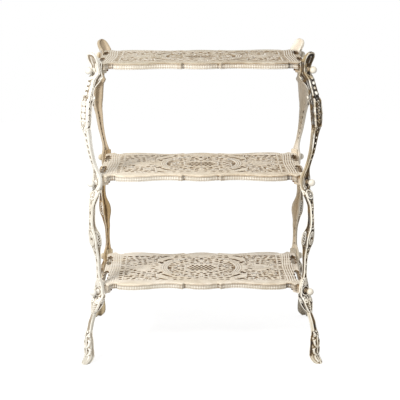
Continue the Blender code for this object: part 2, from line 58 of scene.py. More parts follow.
# %% [markdown]
# ## What the pieces share
#
# Every corner of the stand has the same post, turned about Z. So a post is shaped once in the
# corner's own frame, where X runs outward along the diagonal from the middle of the shelf's cut
# corner, Y runs across the post and Z is the height above the floor. The four posts could be
# placed by hand, but the shelves' boxes in the frame say where the corners and the bolts are, so
# the dressed pieces follow the solids.

# %% Corners and heights, read from the frame
CORNERS = {
    "front_left": (-1, -1, math.radians(-135)),
    "front_right": (1, -1, math.radians(-45)),
    "rear_right": (1, 1, math.radians(45)),
    "rear_left": (-1, 1, math.radians(135)),
}
LEVELS = ("bottom", "middle", "top")
# the cut at each corner of a shelf, and how far the bolts sit under the shelf's face
CORNER_CUT = 26 * MM
BOLT_DROP = 18.5 * MM
low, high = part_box("shelf_top")
SHELF_LENGTH = high.x - low.x
SHELF_DEPTH = high.y - low.y
SHELF_TOPS = {level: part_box(f"shelf_{level}")[1].z for level in LEVELS}
BOLTS = {level: height - BOLT_DROP for level, height in SHELF_TOPS.items()}
CORNER_X = (SHELF_LENGTH - CORNER_CUT) / 2
CORNER_Y = (SHELF_DEPTH - CORNER_CUT) / 2


def corner_matrix(corner):
    """From a corner's own frame to the world."""
    side_x, side_y, turn = CORNERS[corner]
    place = Matrix.Translation(Vector((side_x * CORNER_X, side_y * CORNER_Y, 0.0)))
    return place @ Matrix.Rotation(turn, 4, "Z")


print("shelf", round(SHELF_LENGTH, 4), "x", round(SHELF_DEPTH, 4), "tops", SHELF_TOPS)

# %% [markdown]
# ## Materials
#
# A material could be drawn by hand in the shader editor. Here it is written down, so that it can
# be read and changed: one function turns a colour's hex code to the linear values that Blender
# works with, one adds a node with its settings and its links, and one starts a new material.

# %% Helpers for materials
def srgb(code):
    """Linear colour from an sRGB hex code such as #E8DFCB."""
    parts = [int(code[index:index + 2], 16) / 255 for index in (1, 3, 5)]
    return (*[c / 12.92 if c <= 0.04045 else ((c + 0.055) / 1.055) ** 2.4 for c in parts], 1.0)


def node(tree, kind, settings=None, inputs=None):
    """Add a node with its settings and its inputs, which are values or other nodes' outputs."""
    made = tree.nodes.new(kind)
    for name, value in (settings or {}).items():
        setattr(made, name, value)
    for key, value in (inputs or {}).items():
        if isinstance(value, bpy.types.NodeSocket):
            tree.links.new(value, made.inputs[key])
        else:
            made.inputs[key].default_value = value
    return made.outputs


def new_material(name):
    """A material with its node tree and the shader that Blender puts in it."""
    material = bpy.data.materials.new(name)
    material.use_nodes = True
    return material, material.node_tree, material.node_tree.nodes["Principled BSDF"]


MULTIPLY = {"operation": "MULTIPLY", "use_clamp": True}
MULTIPLY_ADD = {"operation": "MULTIPLY_ADD", "use_clamp": True}
LARGER = {"operation": "MAXIMUM"}
COLOURS = {"data_type": "RGBA"}
# a mix node has several inputs of the same name, so those for colours are told by their number
MIX_SHARE, MIX_UNDER, MIX_OVER, MIXED = 0, 6, 7, 2
# a noise of scale 1 draws clouds about half a metre wide
NOISE_CLOUD = 0.5
TYPICAL_IOR = 1.5
print("middle grey #808080 is", round(srgb("#808080")[0], 3), "in linear light")

# %% [markdown]
# ### Old oil paint
#
# The paint is a lead white oil paint that has yellowed, laid on with a brush in several coats.
# Five things make it look old: a tone that yellows over a hand's width, faint stains, grime that
# stays where a cloth can't reach, edges rubbed back to the pale undercoat, and pinholes where
# rust has come through. The pale of the rubbed edges is also a painted highlight on what stands
# proud. A photograph of old paint could be wrapped round the castings, but it would not know where
# their hollows are. The relief itself does: each mesh carries two attributes, grime, and rub with
# its painted highlight, worked out from its height.
#
# The patterns are clouds of four sizes, in real millimetres. The grain of the sand mould shows
# as bump only, being far below what a mesh holds.

# %% Colours of the paint, and the sizes of its patterns
# pale paint on rubbed and proud edges, which also serves as their painted highlight
PALE_UNDERCOAT_AND_HIGHLIGHT = srgb("#FBF6EA")
RUST = srgb("#7A4A26")
# what settles in the hollows, thin and thick: light dust, brown dirt on the shelves, and soot on the
# front right castings, where it also paints the shade of the side away from the light
GRIMES = {
    "dust": (srgb("#8E7D66"), srgb("#4C3C2B")),
    "dirt": (srgb("#8E7048"), srgb("#46301A")),
    "soot_and_shade": (srgb("#72582F"), srgb("#1E1206")),
}
# size, detail and roughness of each pattern; the grains of mould sand measure a third of a
# millimetre, which is too fine to show, so they are drawn as coarse as they need to be
PAINT_PATTERNS = {
    "drift": (60 * MM, 3.0, 0.6),
    "blotch": (14 * MM, 5.0, 0.6),
    "pinhole": (2.2 * MM, 4.0, 0.7),
    "grain": (1.1 * MM, 4.0, 0.65),
}
PAINT_GRAIN = 0.35
GRAIN_HEIGHT = 0.4 * MM


def pattern_clouds(tree, place):
    """The clouds of each pattern, by its name."""
    clouds = {}
    for key, (size, detail, rough) in PAINT_PATTERNS.items():
        scale = NOISE_CLOUD / size
        inputs = {"Vector": place, "Scale": scale, "Detail": detail, "Roughness": rough}
        clouds[key] = node(tree, "ShaderNodeTexNoise", None, inputs)["Fac"]
    return clouds


print("patterns of the paint:", {key: f"{row[0] / MM:.1f} mm" for key, row in PAINT_PATTERNS.items()})

# %% [markdown]
# Dirt doesn't lie evenly: within a hollow it lies in blotches. So the mesh's own grime is multiplied by
# the blotches, and by an amount that grows along X. That amount is painted shade: it makes the right
# end of a shelf darker than its left, as the side away from the light, with more stains and rust specks.

# %% How much dirt a place holds
EVEN_GRIME = 0.6
BLOTCHED_GRIME = 0.6


def held_grime(tree, place, blotch, dirt, right_end_shade):
    """The dirt at each place along X, darker to the right as painted shade, and how much of it the
    relief holds there.
    """
    across = node(tree, "ShaderNodeSeparateXYZ", None, {"Vector": place})["X"]
    # painted shade: the amount of grime grows from the left end to the right, away from the light
    reach = {"From Min": -SHELF_LENGTH / 2, "From Max": SHELF_LENGTH / 2}
    amounts = {"To Min": dirt / right_end_shade, "To Max": dirt * right_end_shade}
    soil = node(tree, "ShaderNodeMapRange", None, {"Value": across, **reach, **amounts})["Result"]
    lie = {0: blotch, 1: BLOTCHED_GRIME, 2: EVEN_GRIME}
    uneven = node(tree, "ShaderNodeMath", MULTIPLY_ADD, lie)[0]
    grime = node(tree, "ShaderNodeAttribute", {"attribute_name": "grime"})["Fac"]
    held = node(tree, "ShaderNodeMath", MULTIPLY, {0: grime, 1: soil})[0]
    return soil, node(tree, "ShaderNodeMath", MULTIPLY, {0: held, 1: uneven})[0]


# %% [markdown]
# The colour is built up as it was in life: paint, stains, grime in the hollows, rubbed edges and
# rust, each laid over the last one by its own share. The pale of the rubbed edges also paints
# highlights on what stands proud. An IOR near 1.5 is typical for oil paint.
# Clean paint has a soft sheen, and where it is dirty it is dull.

# %% Lay the paint
# from where to where a pattern or an amount of grime becomes full cover
BLOTCH_RANGE = (0.36, 0.66)
AGED_RANGE = (0.38, 0.64)
HOLLOW_RANGE = (0.08, 0.55)
DEEP_RANGE = (0.5, 1.0)
CHIP_RANGE = (0.70, 0.74)
# the dirtier a casting is, the less of it is rubbed pale, which is also painted highlight
RUBBED_FROM = 0.36
RUBBED_LESS = 0.013
RUBBED_SPAN = 0.2
FULL_STAIN = 0.14
RUST_STRENGTH = 0.8
DULL_GRIME = 0.9


def oil_paint_and_shade(name, tone, aged, grime_kind, dirt, roughness, right_end_shade):
    """tone and aged are the clean and the yellowed colour, dirt is how much grime it holds.

    The last one is how many times more grime its right end has than its middle, painted shade of the
    side away from the light.
    """
    thin_grime, thick_grime = GRIMES[grime_kind]
    material, tree, shader = new_material(name)
    place = node(tree, "ShaderNodeTexCoord")["Object"]
    cloud = pattern_clouds(tree, place)
    low, high = BLOTCH_RANGE
    inputs = {"Value": cloud["blotch"], "From Min": low, "From Max": high}
    blotch = node(tree, "ShaderNodeMapRange", None, inputs)["Result"]
    soil, held = held_grime(tree, place, blotch, dirt, right_end_shade)
    # the rub attribute lays pale paint on proud edges: wear, and a painted highlight as well
    rub_and_highlight = node(tree, "ShaderNodeAttribute", {"attribute_name": "rub_and_highlight"})["Fac"]

    rubbed = RUBBED_FROM + RUBBED_LESS * dirt**2
    share = {"stain": blotch}
    for key, source, (low, high) in (
        ("aged", cloud["drift"], AGED_RANGE),
        ("hollow", held, HOLLOW_RANGE),
        ("deep", held, DEEP_RANGE),
        ("polish_and_highlight", cloud["blotch"], (rubbed, rubbed + RUBBED_SPAN)),
        ("chip", cloud["pinhole"], CHIP_RANGE),
    ):
        inputs = {"Value": source, "From Min": low, "From Max": high}
        share[key] = node(tree, "ShaderNodeMapRange", None, inputs)["Result"]
    for key, amount in (
        ("stain", FULL_STAIN), ("stain", soil), ("polish_and_highlight", rub_and_highlight), ("chip", RUST_STRENGTH), ("chip", soil),
    ):
        share[key] = node(tree, "ShaderNodeMath", MULTIPLY, {0: share[key], 1: amount})[0]

    colour = tone
    for key, over in (
        ("aged", aged), ("stain", thin_grime), ("hollow", thin_grime), ("deep", thick_grime),
        ("polish_and_highlight", PALE_UNDERCOAT_AND_HIGHLIGHT), ("chip", RUST),
    ):
        inputs = {MIX_SHARE: share[key], MIX_UNDER: colour, MIX_OVER: over}
        colour = node(tree, "ShaderNodeMix", COLOURS, inputs)[MIXED]
    tree.links.new(colour, shader.inputs["Base Color"])
    inputs = {"Value": held, "To Min": roughness, "To Max": DULL_GRIME}
    dull = node(tree, "ShaderNodeMapRange", None, inputs)["Result"]
    tree.links.new(dull, shader.inputs["Roughness"])
    shader.inputs["IOR"].default_value = TYPICAL_IOR
    inputs = {"Height": cloud["grain"], "Strength": PAINT_GRAIN, "Distance": GRAIN_HEIGHT}
    bump = node(tree, "ShaderNodeBump", None, inputs)["Normal"]
    tree.links.new(bump, shader.inputs["Normal"])
    return material


# %% [markdown]
# Every casting has a paint of its own, and the bolts have one for each corner. Many of them are lit
# and shaded copies of one cream paint, with some dirt as well: the front right castings carry soot
# and are darker, painted shade of the side away from the light; the front left and rear right ones
# are pale, painted light; and the rear left ones are tan, painted shade. The lower shelves are
# painted lighter than the top one, to make up for the shade of the shelves above them. All of them
# could share one material with a mask, but a row in a table is easier to match to the real casting.

# %% Mix a paint for every casting
# clean tone, yellowed tone, what dirt and how much, roughness, and how much darker its right end is, as
# painted shade
# tones and amounts of dirt differ by corner and by shelf, to paint light and shade into them
PAINT_DIRT_AND_SHADE = {
    "shelf_top": ("#D3C9B6", "#C4B9A2", "dirt", 1.55, 0.6, 1.5),
    "shelf_middle": ("#F7EBD6", "#EBDCC2", "dirt", 1.2, 0.6, 1.5),
    "shelf_bottom": ("#FDF3E2", "#F4E7D0", "dirt", 1.15, 0.6, 1.5),
    "apron": ("#DCD5C6", "#D0C7B5", "dirt", 0.8, 0.55, 1.5),
    "upper_post_front_left": ("#ECE8DE", "#E4DFD3", "dust", 0.34, 0.5, 1.0),
    "upper_post_front_right": ("#C2B499", "#A1906C", "soot_and_shade", 2.75, 0.5, 1.0),
    "upper_post_rear_right": ("#F4EADA", "#E9DDC8", "dust", 0.32, 0.5, 1.0),
    "upper_post_rear_left": ("#C3B196", "#B3A082", "dust", 0.5, 0.5, 1.0),
    "middle_post_front_left": ("#DDD7CA", "#D2CBBB", "dust", 0.34, 0.5, 1.0),
    "middle_post_front_right": ("#F8F1E1", "#EDE3CC", "soot_and_shade", 1.35, 0.5, 1.0),
    "middle_post_rear_right": ("#F5E7CF", "#EAD9BB", "dust", 0.35, 0.5, 1.0),
    "middle_post_rear_left": ("#BFA784", "#AC936B", "dirt", 0.6, 0.5, 1.0),
    "leg_front_left": ("#CFCABD", "#C4BDAD", "dust", 0.36, 0.5, 1.0),
    "leg_front_right": ("#EDE6D6", "#DDD2BA", "soot_and_shade", 1.1, 0.5, 1.0),
    "leg_rear_right": ("#DDD4C1", "#CFC3AA", "dirt", 0.8, 0.5, 1.0),
    "leg_rear_left": ("#D3C5A8", "#C0AF8B", "dirt", 1.0, 0.5, 1.0),
    "bolt_front_left": ("#F0ECE2", "#E6DFD1", "dust", 0.25, 0.45, 1.0),
    "bolt_front_right": ("#E6DECE", "#D2C5AB", "soot_and_shade", 0.9, 0.45, 1.0),
    "bolt_rear_right": ("#EBE3D3", "#D9CCB4", "dust", 0.5, 0.45, 1.0),
    "bolt_rear_left": ("#DFD2B7", "#CBB992", "dirt", 0.8, 0.45, 1.0),
}
paints = {}
for key, (clean, yellowed, *rest) in PAINT_DIRT_AND_SHADE.items():
    paints[key] = oil_paint_and_shade(f"oil_paint_and_shade_{key}", srgb(clean), srgb(yellowed), *rest)
print("paints mixed:", len(paints))

# %% [markdown]
# ### Rusty iron
#
# The square nuts were never painted well, and what paint they got has mostly rusted off. Rust is
# rough and not metallic, the bare iron between is darker and slightly shiny, and a few flakes of
# cream are left. Two clouds over one dark colour are enough for pieces this small.

# %% Rusty iron of the nuts
DARK_IRON = srgb("#54402F")
# size, detail and roughness of each pattern, the range of it that blends in, and what it lays on
NUT_LAYERS = (
    (2.5 * MM, 5.0, 0.7, 0.42, 0.60, srgb("#8A5530")),
    (5.0 * MM, 4.0, 0.6, 0.56, 0.62, srgb("#CDBFA2")),
)
# about a quarter of a nut's surface is bare iron
NUT_SURFACE = {"Metallic": 0.25, "Roughness": 0.72, "IOR": TYPICAL_IOR}
NUT_GRAIN = 0.5


def rusty_iron():
    """Dark iron under rust and the last flakes of paint."""
    material, tree, shader = new_material("rusty_iron_nut")
    place = node(tree, "ShaderNodeTexCoord")["Object"]
    colour = DARK_IRON
    for size, detail, rough, low, high, over in NUT_LAYERS:
        scale = NOISE_CLOUD / size
        inputs = {"Vector": place, "Scale": scale, "Detail": detail, "Roughness": rough}
        cloud = node(tree, "ShaderNodeTexNoise", None, inputs)["Fac"]
        inputs = {"Value": cloud, "From Min": low, "From Max": high}
        share = node(tree, "ShaderNodeMapRange", None, inputs)["Result"]
        inputs = {MIX_SHARE: share, MIX_UNDER: colour, MIX_OVER: over}
        colour = node(tree, "ShaderNodeMix", COLOURS, inputs)[MIXED]
    tree.links.new(colour, shader.inputs["Base Color"])
    for name, value in NUT_SURFACE.items():
        shader.inputs[name].default_value = value
    inputs = {"Height": cloud, "Strength": NUT_GRAIN, "Distance": GRAIN_HEIGHT}
    bump = node(tree, "ShaderNodeBump", None, inputs)["Normal"]
    tree.links.new(bump, shader.inputs["Normal"])
    return material


nut_iron = rusty_iron()
print("nuts are made of:", nut_iron.name)

# %% [markdown]
# ## Carving tools
#
# The relief of a casting is a height over its plain face. It could be sculpted with a brush, but
# then it would be different at each corner. Three tools carve it instead, the same ones that a
# pattern maker has: a rounded ridge along a line, a round bead, and a V groove. Each works on
# every point of a face at once. Ridges and beads are joined by taking the higher one, as if they
# were stuck on, and a groove is cut out of what is there.

# %% Ridge, bead and groove
def distance_to_line(across, along, points):
    """Distance of every point to a run of straight pieces."""
    best = np.full(across.shape, np.inf)
    for (x0, y0), (x1, y1) in zip(points, points[1:]):
        dx, dy = x1 - x0, y1 - y0
        length = max(dx * dx + dy * dy, 1e-12)
        share = np.clip(((across - x0) * dx + (along - y0) * dy) / length, 0.0, 1.0)
        gap = np.hypot(across - x0 - share * dx, along - y0 - share * dy)
        best = np.minimum(best, gap)
    return best


def ridge(relief, across, along, points, half_width, height):
    """Lay a half round bar along a line."""
    share = distance_to_line(across, along, points) / half_width
    bar = height * np.sqrt(np.clip(1.0 - share * share, 0.0, 1.0))
    np.maximum(relief, bar, out=relief)


def bead(relief, across, along, centre, radius, height):
    """Set half a ball, or a flatter or taller one, on the face."""
    share = np.hypot(across - centre[0], along - centre[1]) / radius
    ball = height * np.sqrt(np.clip(1.0 - share * share, 0.0, 1.0))
    np.maximum(relief, ball, out=relief)


def groove(relief, across, along, points, half_width, depth):
    """Cut a V with a round bottom along a line."""
    share = np.clip(distance_to_line(across, along, points) / half_width, 0.0, 1.0)
    relief -= depth * 0.5 * (1.0 + np.cos(np.pi * share))


def step_between(low, high, values):
    """0 up to the low value, 1 from the high one on, and a smooth step between."""
    share = np.clip((values - low) / (high - low), 0.0, 1.0)
    return share * share * (3.0 - 2.0 * share)


# %% [markdown]
# Scrolls end in volutes, which are spirals that tighten inward. Outlines are drawn through a few
# chosen points, and a smooth curve fills in between them, as a bent batten does on a drawing
# board.

# %% Volutes and smooth outlines
def spiral(centre, start, turns, wide, narrow, side=1, steps=22):
    """Points of a volute that winds inward from a start angle."""
    points = []
    for step in range(steps + 1):
        share = step / steps
        angle = start + side * 2 * math.pi * turns * share
        radius = wide + (narrow - wide) * share
        place = (centre[0] + radius * math.cos(angle), centre[1] + radius * math.sin(angle))
        points.append(place)
    return points


def smooth_curve(table, places):
    """Smooth curves through a table's columns, read at the given places of its first column."""
    table = np.array(table, float)
    table = table[np.argsort(table[:, 0])]
    keys, values = table[:, 0], table[:, 1:]
    slopes = np.gradient(values, keys, axis=0)
    index = np.clip(np.searchsorted(keys, places) - 1, 0, len(keys) - 2)
    span = (keys[index + 1] - keys[index])[:, None]
    share = ((places - keys[index]) / span[:, 0])[:, None]
    first, second = values[index], values[index + 1]
    out = (2 * share**3 - 3 * share**2 + 1) * first
    out += (share**3 - 2 * share**2 + share) * slopes[index] * span
    out += (-2 * share**3 + 3 * share**2) * second
    out += (share**3 - share**2) * slopes[index + 1] * span
    return out


# %% [markdown]
# ## Post castings
#
# A post casting is a bar with a carved face, thin side walls and a hollow back, as it leaves a
# two part sand mould. It could be modelled as a curve with a bevel, but its width, its depth and
# the way it leans all change along it. So its outline is a table of rows from the top down:
# height, how far the crest of the face stands out along the diagonal, width, and depth.

# %% Post outlines, in millimetres: height, reach of the crest, width, depth
UPPER_POST_ROWS = (
    (919.0, 34.0, 7, 4.0),
    (916.5, 35.4, 19, 6.0),
    (912.0, 35.2, 30, 8.0),
    (906.0, 33.8, 37, 10.0),
    (899.0, 31.4, 39.5, 12.5),
    (892.0, 28.4, 38.5, 15.5),
    (885.0, 25.6, 35, 17.0),
    (879.0, 24.2, 31.5, 15.5),
    (873.0, 23.5, 31, 14.5),
    (862.0, 23.5, 30.5, 14.5),
    (856.0, 25.0, 29, 19.0),
    (850.0, 30.5, 27.5, 27.5),
    (845.5, 34.5, 26.5, 32.0),
    (842.0, 38.0, 26, 33.0),
    (837.5, 40.0, 25.5, 31.0),
    (830.0, 43.0, 25.5, 25.0),
    (823.0, 45.3, 25.5, 18.0),
    (816.0, 48.0, 26, 14.5),
    (804.0, 53.0, 26.5, 14.5),
    (797.0, 56.0, 28, 18.5),
    (791.0, 58.0, 29, 24.5),
    (785.0, 60.0, 30.5, 23.5),
    (778.0, 61.6, 32.2, 18.5),
    (770.0, 62.9, 33.6, 16.5),
    (762.0, 63.8, 34.5, 16.0),
    (744.0, 65.8, 35.5, 15.5),
    (725.0, 66.4, 33.5, 15.0),
    (709.0, 66.2, 29, 14.5),
    (695.0, 63.0, 25.5, 14.0),
    (680.0, 58.8, 22, 13.5),
    (662.0, 55.5, 19, 13.0),
    (627.0, 47.0, 15.5, 12.0),
    (592.0, 34.0, 14, 10.0),
    (574.0, 27.5, 19, 9.5),
    (563.0, 24.8, 27, 9.0),
    (552.0, 23.6, 34.5, 8.3),
    (545.0, 23.5, 36.5, 8.2),
    (534.0, 23.5, 35.5, 8.2),
    (526.0, 25.5, 32, 9.0),
    (518.3, 28.0, 26, 8.5),
)
MIDDLE_POST_ROWS = (
    (517.7, 24.5, 30, 9.0),
    (512.0, 31.0, 33.5, 11.0),
    (506.0, 36.5, 34, 12.5),
    (498.0, 39.5, 30.5, 12.5),
    (491.0, 41.8, 25, 13.5),
    (473.0, 47.0, 17.5, 13.0),
    (449.0, 48.5, 14.5, 13.5),
    (425.0, 50.0, 14.5, 15.0),
    (407.0, 49.2, 17.5, 17.5),
    (398.0, 47.8, 21.5, 20.0),
    (389.0, 46.2, 26, 23.0),
    (371.0, 43.2, 30, 24.0),
    (359.0, 41.0, 28.5, 22.5),
    (346.0, 37.0, 22, 18.5),
    (334.0, 34.0, 18.5, 15.0),
    (316.0, 28.5, 14.5, 12.0),
    (298.0, 26.2, 12, 10.0),
    (274.0, 25.2, 11.5, 9.5),
    (256.0, 24.2, 14, 9.0),
    (246.0, 23.8, 18.5, 8.3),
    (237.0, 23.5, 25, 8.2),
    (228.0, 23.5, 31.5, 8.2),
    (219.0, 23.5, 36, 8.2),
    (210.0, 23.5, 37.5, 9.0),
    (203.0, 24.5, 39, 12.0),
    (195.0, 29.0, 40, 16.0),
    (182.0, 37.5, 38, 19.0),
    (172.0, 40.8, 34, 18.5),
    (163.0, 43.0, 28, 15.5),
    (155.0, 45.0, 21, 12.0),
    (148.8, 46.5, 13, 8.0),
)
LEG_ROWS = (
    (148.2, 46.5, 14, 9.0),
    (138.0, 51.5, 15.5, 10.5),
    (126.0, 57.5, 17, 10.5),
    (104.0, 63.8, 17.5, 10.5),
    (96.0, 66.8, 19, 11.5),
    (86.0, 69.5, 23, 12.5),
    (70.0, 71.0, 30, 13.0),
    (51.0, 71.8, 33, 13.5),
    (32.0, 71.0, 33.5, 14.0),
    (20.0, 73.0, 33, 15.5),
    (12.0, 78.0, 31.5, 17.0),
    (6.0, 84.0, 28, 18.0),
    (2.0, 87.8, 24.5, 18.0),
    (0.0, 88.6, 22, 17.0),
)
# the flat tongues by which the lower castings are bolted behind the upper ones
MIDDLE_TONGUE_ROWS = ((567.5, 15.0, 24, 5.2), (540.0, 15.0, 24, 5.2), (517.4, 15.0, 24, 5.2))
LEG_TONGUE_ROWS = (
    (239.5, 15.0, 24, 5.2),
    (215.0, 15.0, 24, 5.2),
    (199.5, 16.5, 24, 5.2),
    (189.3, 27.4, 20.9, 5.2),
    (174.0, 32.7, 18.2, 5.2),
    (161.3, 36.2, 15.2, 5.2),
    (147.4, 40.8, 11.4, 5.2),
)
ROW_STEP = 1.3 * MM


def outline_of(rows):
    """Heights down a casting, and its reach, width and depth at each."""
    table = np.array(rows) * MM
    heights = np.linspace(table[0, 0], table[-1, 0], int(np.ptp(table[:, 0]) / ROW_STEP) + 1)
    reach, width, depth = smooth_curve(table, heights).T
    return heights, reach, width, depth


print("rows of the outlines:", len(UPPER_POST_ROWS), len(MIDDLE_POST_ROWS), len(LEG_ROWS))

# %% [markdown]
# ### What is carved on a post
#
# The ornament is the usual rococo set. From the top down the upper casting has a cupped leaf
# finial, a C scroll round the ball bolt, a row of proud beads, an acanthus leaf with curls along
# its midrib, a tapering strap with a row of piercings, and a leaf round the next bolt. The middle
# casting has a round eye, a pierced strap, an oval cartouche, a narrow stem, a palmette and the
# knee with its pair of volutes. The leg has a fluted shaft and a leafy foot.
#
# All of it is the same left and right, so it is drawn once, by its distance from the middle line
# and its height above the floor, in millimetres. A small class holds the face that is being
# carved, and says in its own words what the tools do to it.

# %% A face to carve
# grime is 1 in a full hollow; pits and holes get more, dirt and painted shade, so they show dark on the
# cleanest castings too
PIT_SHADE_AND_SOIL = 2.8
# a pit's wall, in shares of its radius
PIT_SLOPE = 0.6
PIT_RIM = 1.3
# how far dirt thins out towards the ends and the edges of what it fills
SOIL_END_FADE = 4.0
SOIL_SIDE_FADE = 2.0
# how far the relief takes to rise from a bolt's flat seat
BOLT_SEAT_EASE = 2.0


class Carving:
    """The face of one casting: points across and along it in millimetres, and its relief."""

    def __init__(self, across, heights, half):
        self.across = np.abs(across) / MM
        self.along = np.broadcast_to(heights, across.shape) / MM
        self.half = np.broadcast_to(half, across.shape) / MM
        self.table = np.column_stack((heights[::-1, 0], half[::-1, 0])) / MM
        self.relief = np.zeros(across.shape)
        self.soil = np.zeros(across.shape)

    def half_at(self, height):
        return float(np.interp(height, self.table[:, 0], self.table[:, 1]))

    def near_edge(self, top, bottom, inset, steps=16):
        """A line that keeps its distance from the casting's edge."""
        heights = np.linspace(top, bottom, steps)
        return [(max(self.half_at(z) - inset, 0.0), z) for z in heights]

    def ridge(self, points, half_width, height):
        ridge(self.relief, self.across, self.along, points, half_width, height)

    def bead(self, across, height, radius, rise):
        bead(self.relief, self.across, self.along, (across, height), radius, rise)

    def groove(self, points, half_width, depth):
        groove(self.relief, self.across, self.along, points, half_width, depth)

    def ring(self, centre, radius, half_width, height):
        gap = np.abs(np.hypot(self.across, self.along - centre) - radius) / half_width
        bar = height * np.sqrt(np.clip(1.0 - gap * gap, 0.0, 1.0))
        np.maximum(self.relief, bar, out=self.relief)

    def swell(self, top, bottom, rise):
        """Raise the middle of the face between two heights, like the back of a leaf."""
        middle, reach = (top + bottom) / 2, (top - bottom) / 2
        share = np.clip(1.0 - ((self.along - middle) / reach) ** 2, 0.0, 1.0)
        round_off = 1.0 - (self.across / np.maximum(self.half, 1.0)) ** 2
        self.relief += rise * np.sqrt(share) * np.clip(round_off, 0.0, 1.0)

    def dish(self, centre, reach_across, reach_along, depth):
        """Press a soft hollow into the face."""
        share = (self.across / reach_across) ** 2 + ((self.along - centre) / reach_along) ** 2
        self.relief -= depth * np.exp(-(share**2))

    def veins(self, top, bottom, pitch, inset, lift, half_width, depth):
        """Side veins of a leaf, from the midrib upward to its edge."""
        for height in np.arange(bottom, top, pitch):
            reach = self.half_at(height + lift) - inset
            points = [(1.0, height), (reach * 0.55, height + lift * 0.45), (reach, height + lift)]
            self.groove(points, half_width, depth)

    def edge_beads(self, top, bottom, pitch, inset, radius, rise):
        for height in np.arange(bottom, top, pitch):
            self.bead(self.half_at(height) - inset, height, radius, rise)

    def soiled(self, top, bottom, inset, amount):
        """Dirt that fills the face between two heights, up to a margin along each edge."""
        to_end = np.minimum(top - self.along, self.along - bottom)
        ends = step_between(0.0, SOIL_END_FADE, to_end)
        sides = step_between(0.0, SOIL_SIDE_FADE, self.half - inset - self.across)
        self.soil = np.maximum(self.soil, amount * ends * sides)

    def pit(self, across, height, radius, depth):
        """A round pit, painted dark with old dirt and painted shade."""
        share = np.hypot(self.across - across, self.along - height) / radius
        hole = step_between(0.0, PIT_SLOPE, PIT_RIM - share)
        self.relief -= depth * hole
        self.soil = np.maximum(self.soil, PIT_SHADE_AND_SOIL * hole)

    def seat(self, height, radius):
        """Keep the face flat where a bolt's neck sits."""
        gap = np.hypot(self.across, self.along - height)
        self.relief *= np.clip((gap - radius) / BOLT_SEAT_EASE, 0.0, 1.0)


# %% [markdown]
# The upper casting is the richest one. Its ornaments are carved from the top down. Another order
# would do as well, but for one thing: a pit, a groove or a bolt's seat only cuts into what is
# already there, and a ridge or a bead that is carved over it later fills it again.

# %% Upper post: finial, C scroll, beads, acanthus leaf, pierced strap and loop
BOLT_SEAT = 7.5
PROUD_BEADS = ((845.5, 6.2), (830.0, 5.2), (816.5, 4.7), (802.5, 5.8))
NECK_STEM = ((8.2, 851), (6.2, 838), (9.0, 828), (6.0, 820), (9.2, 809), (6.0, 795))
LEAF_CURLS = (778.0, 760.0, 742.0, 724.0)
UPPER_PIERCINGS = (683.0, 665.5, 648.5, 632.0, 616.0, 600.5)


def carve_upper_post(face):
    """Height by height: what is given first is across the face, what comes second is along it."""
    # the cupped leaf of the finial: dirt in its cup, a rolled rim and a midrib
    face.soiled(914, 852, 4.4, 1.5)
    face.ridge(face.near_edge(915, 886, 2.2), 2.6, 3.0)
    face.ridge([(0, 914.5), (8, 913.5), (12, 911)], 2.6, 2.6)
    face.dish(901, 12.5, 12.0, 3.6)
    face.ridge([(0, 905), (0, 884)], 1.5, 2.0)
    # the C scroll round the top bolt
    face.ridge(face.near_edge(886, 848, 2.0), 2.2, 3.2)
    face.ridge(face.near_edge(886, 854, 7.0), 1.5, 2.4)
    face.ridge(spiral((7.0, 850.5), math.radians(60), 1.1, 5.2, 1.2, -1), 1.5, 2.6)
    face.seat(BOLTS["top"] / MM, BOLT_SEAT)
    # beads down the neck, with a stem that winds beside them
    face.soiled(852, 700, 2.8, 1.4)
    face.ridge(face.near_edge(846, 797, 1.8), 1.9, 2.6)
    for height, radius in PROUD_BEADS:
        face.bead(0.0, height, radius, radius * 1.05)
    face.ridge(NECK_STEM, 1.1, 1.6)
    # the acanthus leaf: a swollen back, a beaded edge, and curls with dirty pits between them
    face.swell(790, 704, 2.2)
    face.ridge(face.near_edge(786, 706, 3.0), 2.7, 4.2)
    face.edge_beads(782, 708, 18.0, 2.8, 4.0, 5.4)
    for height in LEAF_CURLS:
        face.ridge([(0.0, height - 8.0), (2.6, height - 3.0), (7.2, height + 1.5)], 1.6, 3.4)
        face.bead(0.0, height + 2.5, 2.8, 5.0)
        face.pit(6.4, height + 7.5, 2.3, 1.9)
        face.pit(0.0, height - 10.5, 1.7, 1.6)
    face.ridge(spiral((7.0, 703), math.radians(-90), 1.2, 6.0, 1.4), 1.7, 3.0)
    face.bead(7.0, 703, 2.4, 3.2)
    # the strap, with a stud over each piercing
    face.ridge(face.near_edge(697, 580, 1.9), 1.9, 2.4)
    for height in UPPER_PIERCINGS:
        face.ridge([(0, height + 9.0), (0, height + 7.5)], 2.4, 2.6)
    # the leaf and the volutes round the middle bolt
    face.soiled(582, 520, 4.4, 1.2)
    face.ridge(face.near_edge(580, 520, 2.3), 2.4, 3.0)
    face.veins(580, 556, 6.5, 5.0, 6.0, 1.5, 1.6)
    face.ridge(face.near_edge(566, 526, 7.6), 1.6, 2.4)
    face.ridge(spiral((8.2, 525.5), math.radians(100), 1.2, 6.0, 1.4, -1), 1.6, 2.6)
    face.bead(8.2, 525.5, 2.3, 3.0)
    face.seat(BOLTS["middle"] / MM, BOLT_SEAT)


# %% [markdown]
# The side walls are carved too, because the posts stand on the diagonal and are seen half from
# the side. On a wall, across means from the face to the back.

# %% Walls of the upper post: a C scroll with two knobs, then a leaf with three ribs
WALL_KNOBS = (843.5, 789.5)
WALL_PITS = ((15.5, 832), (11.0, 797))


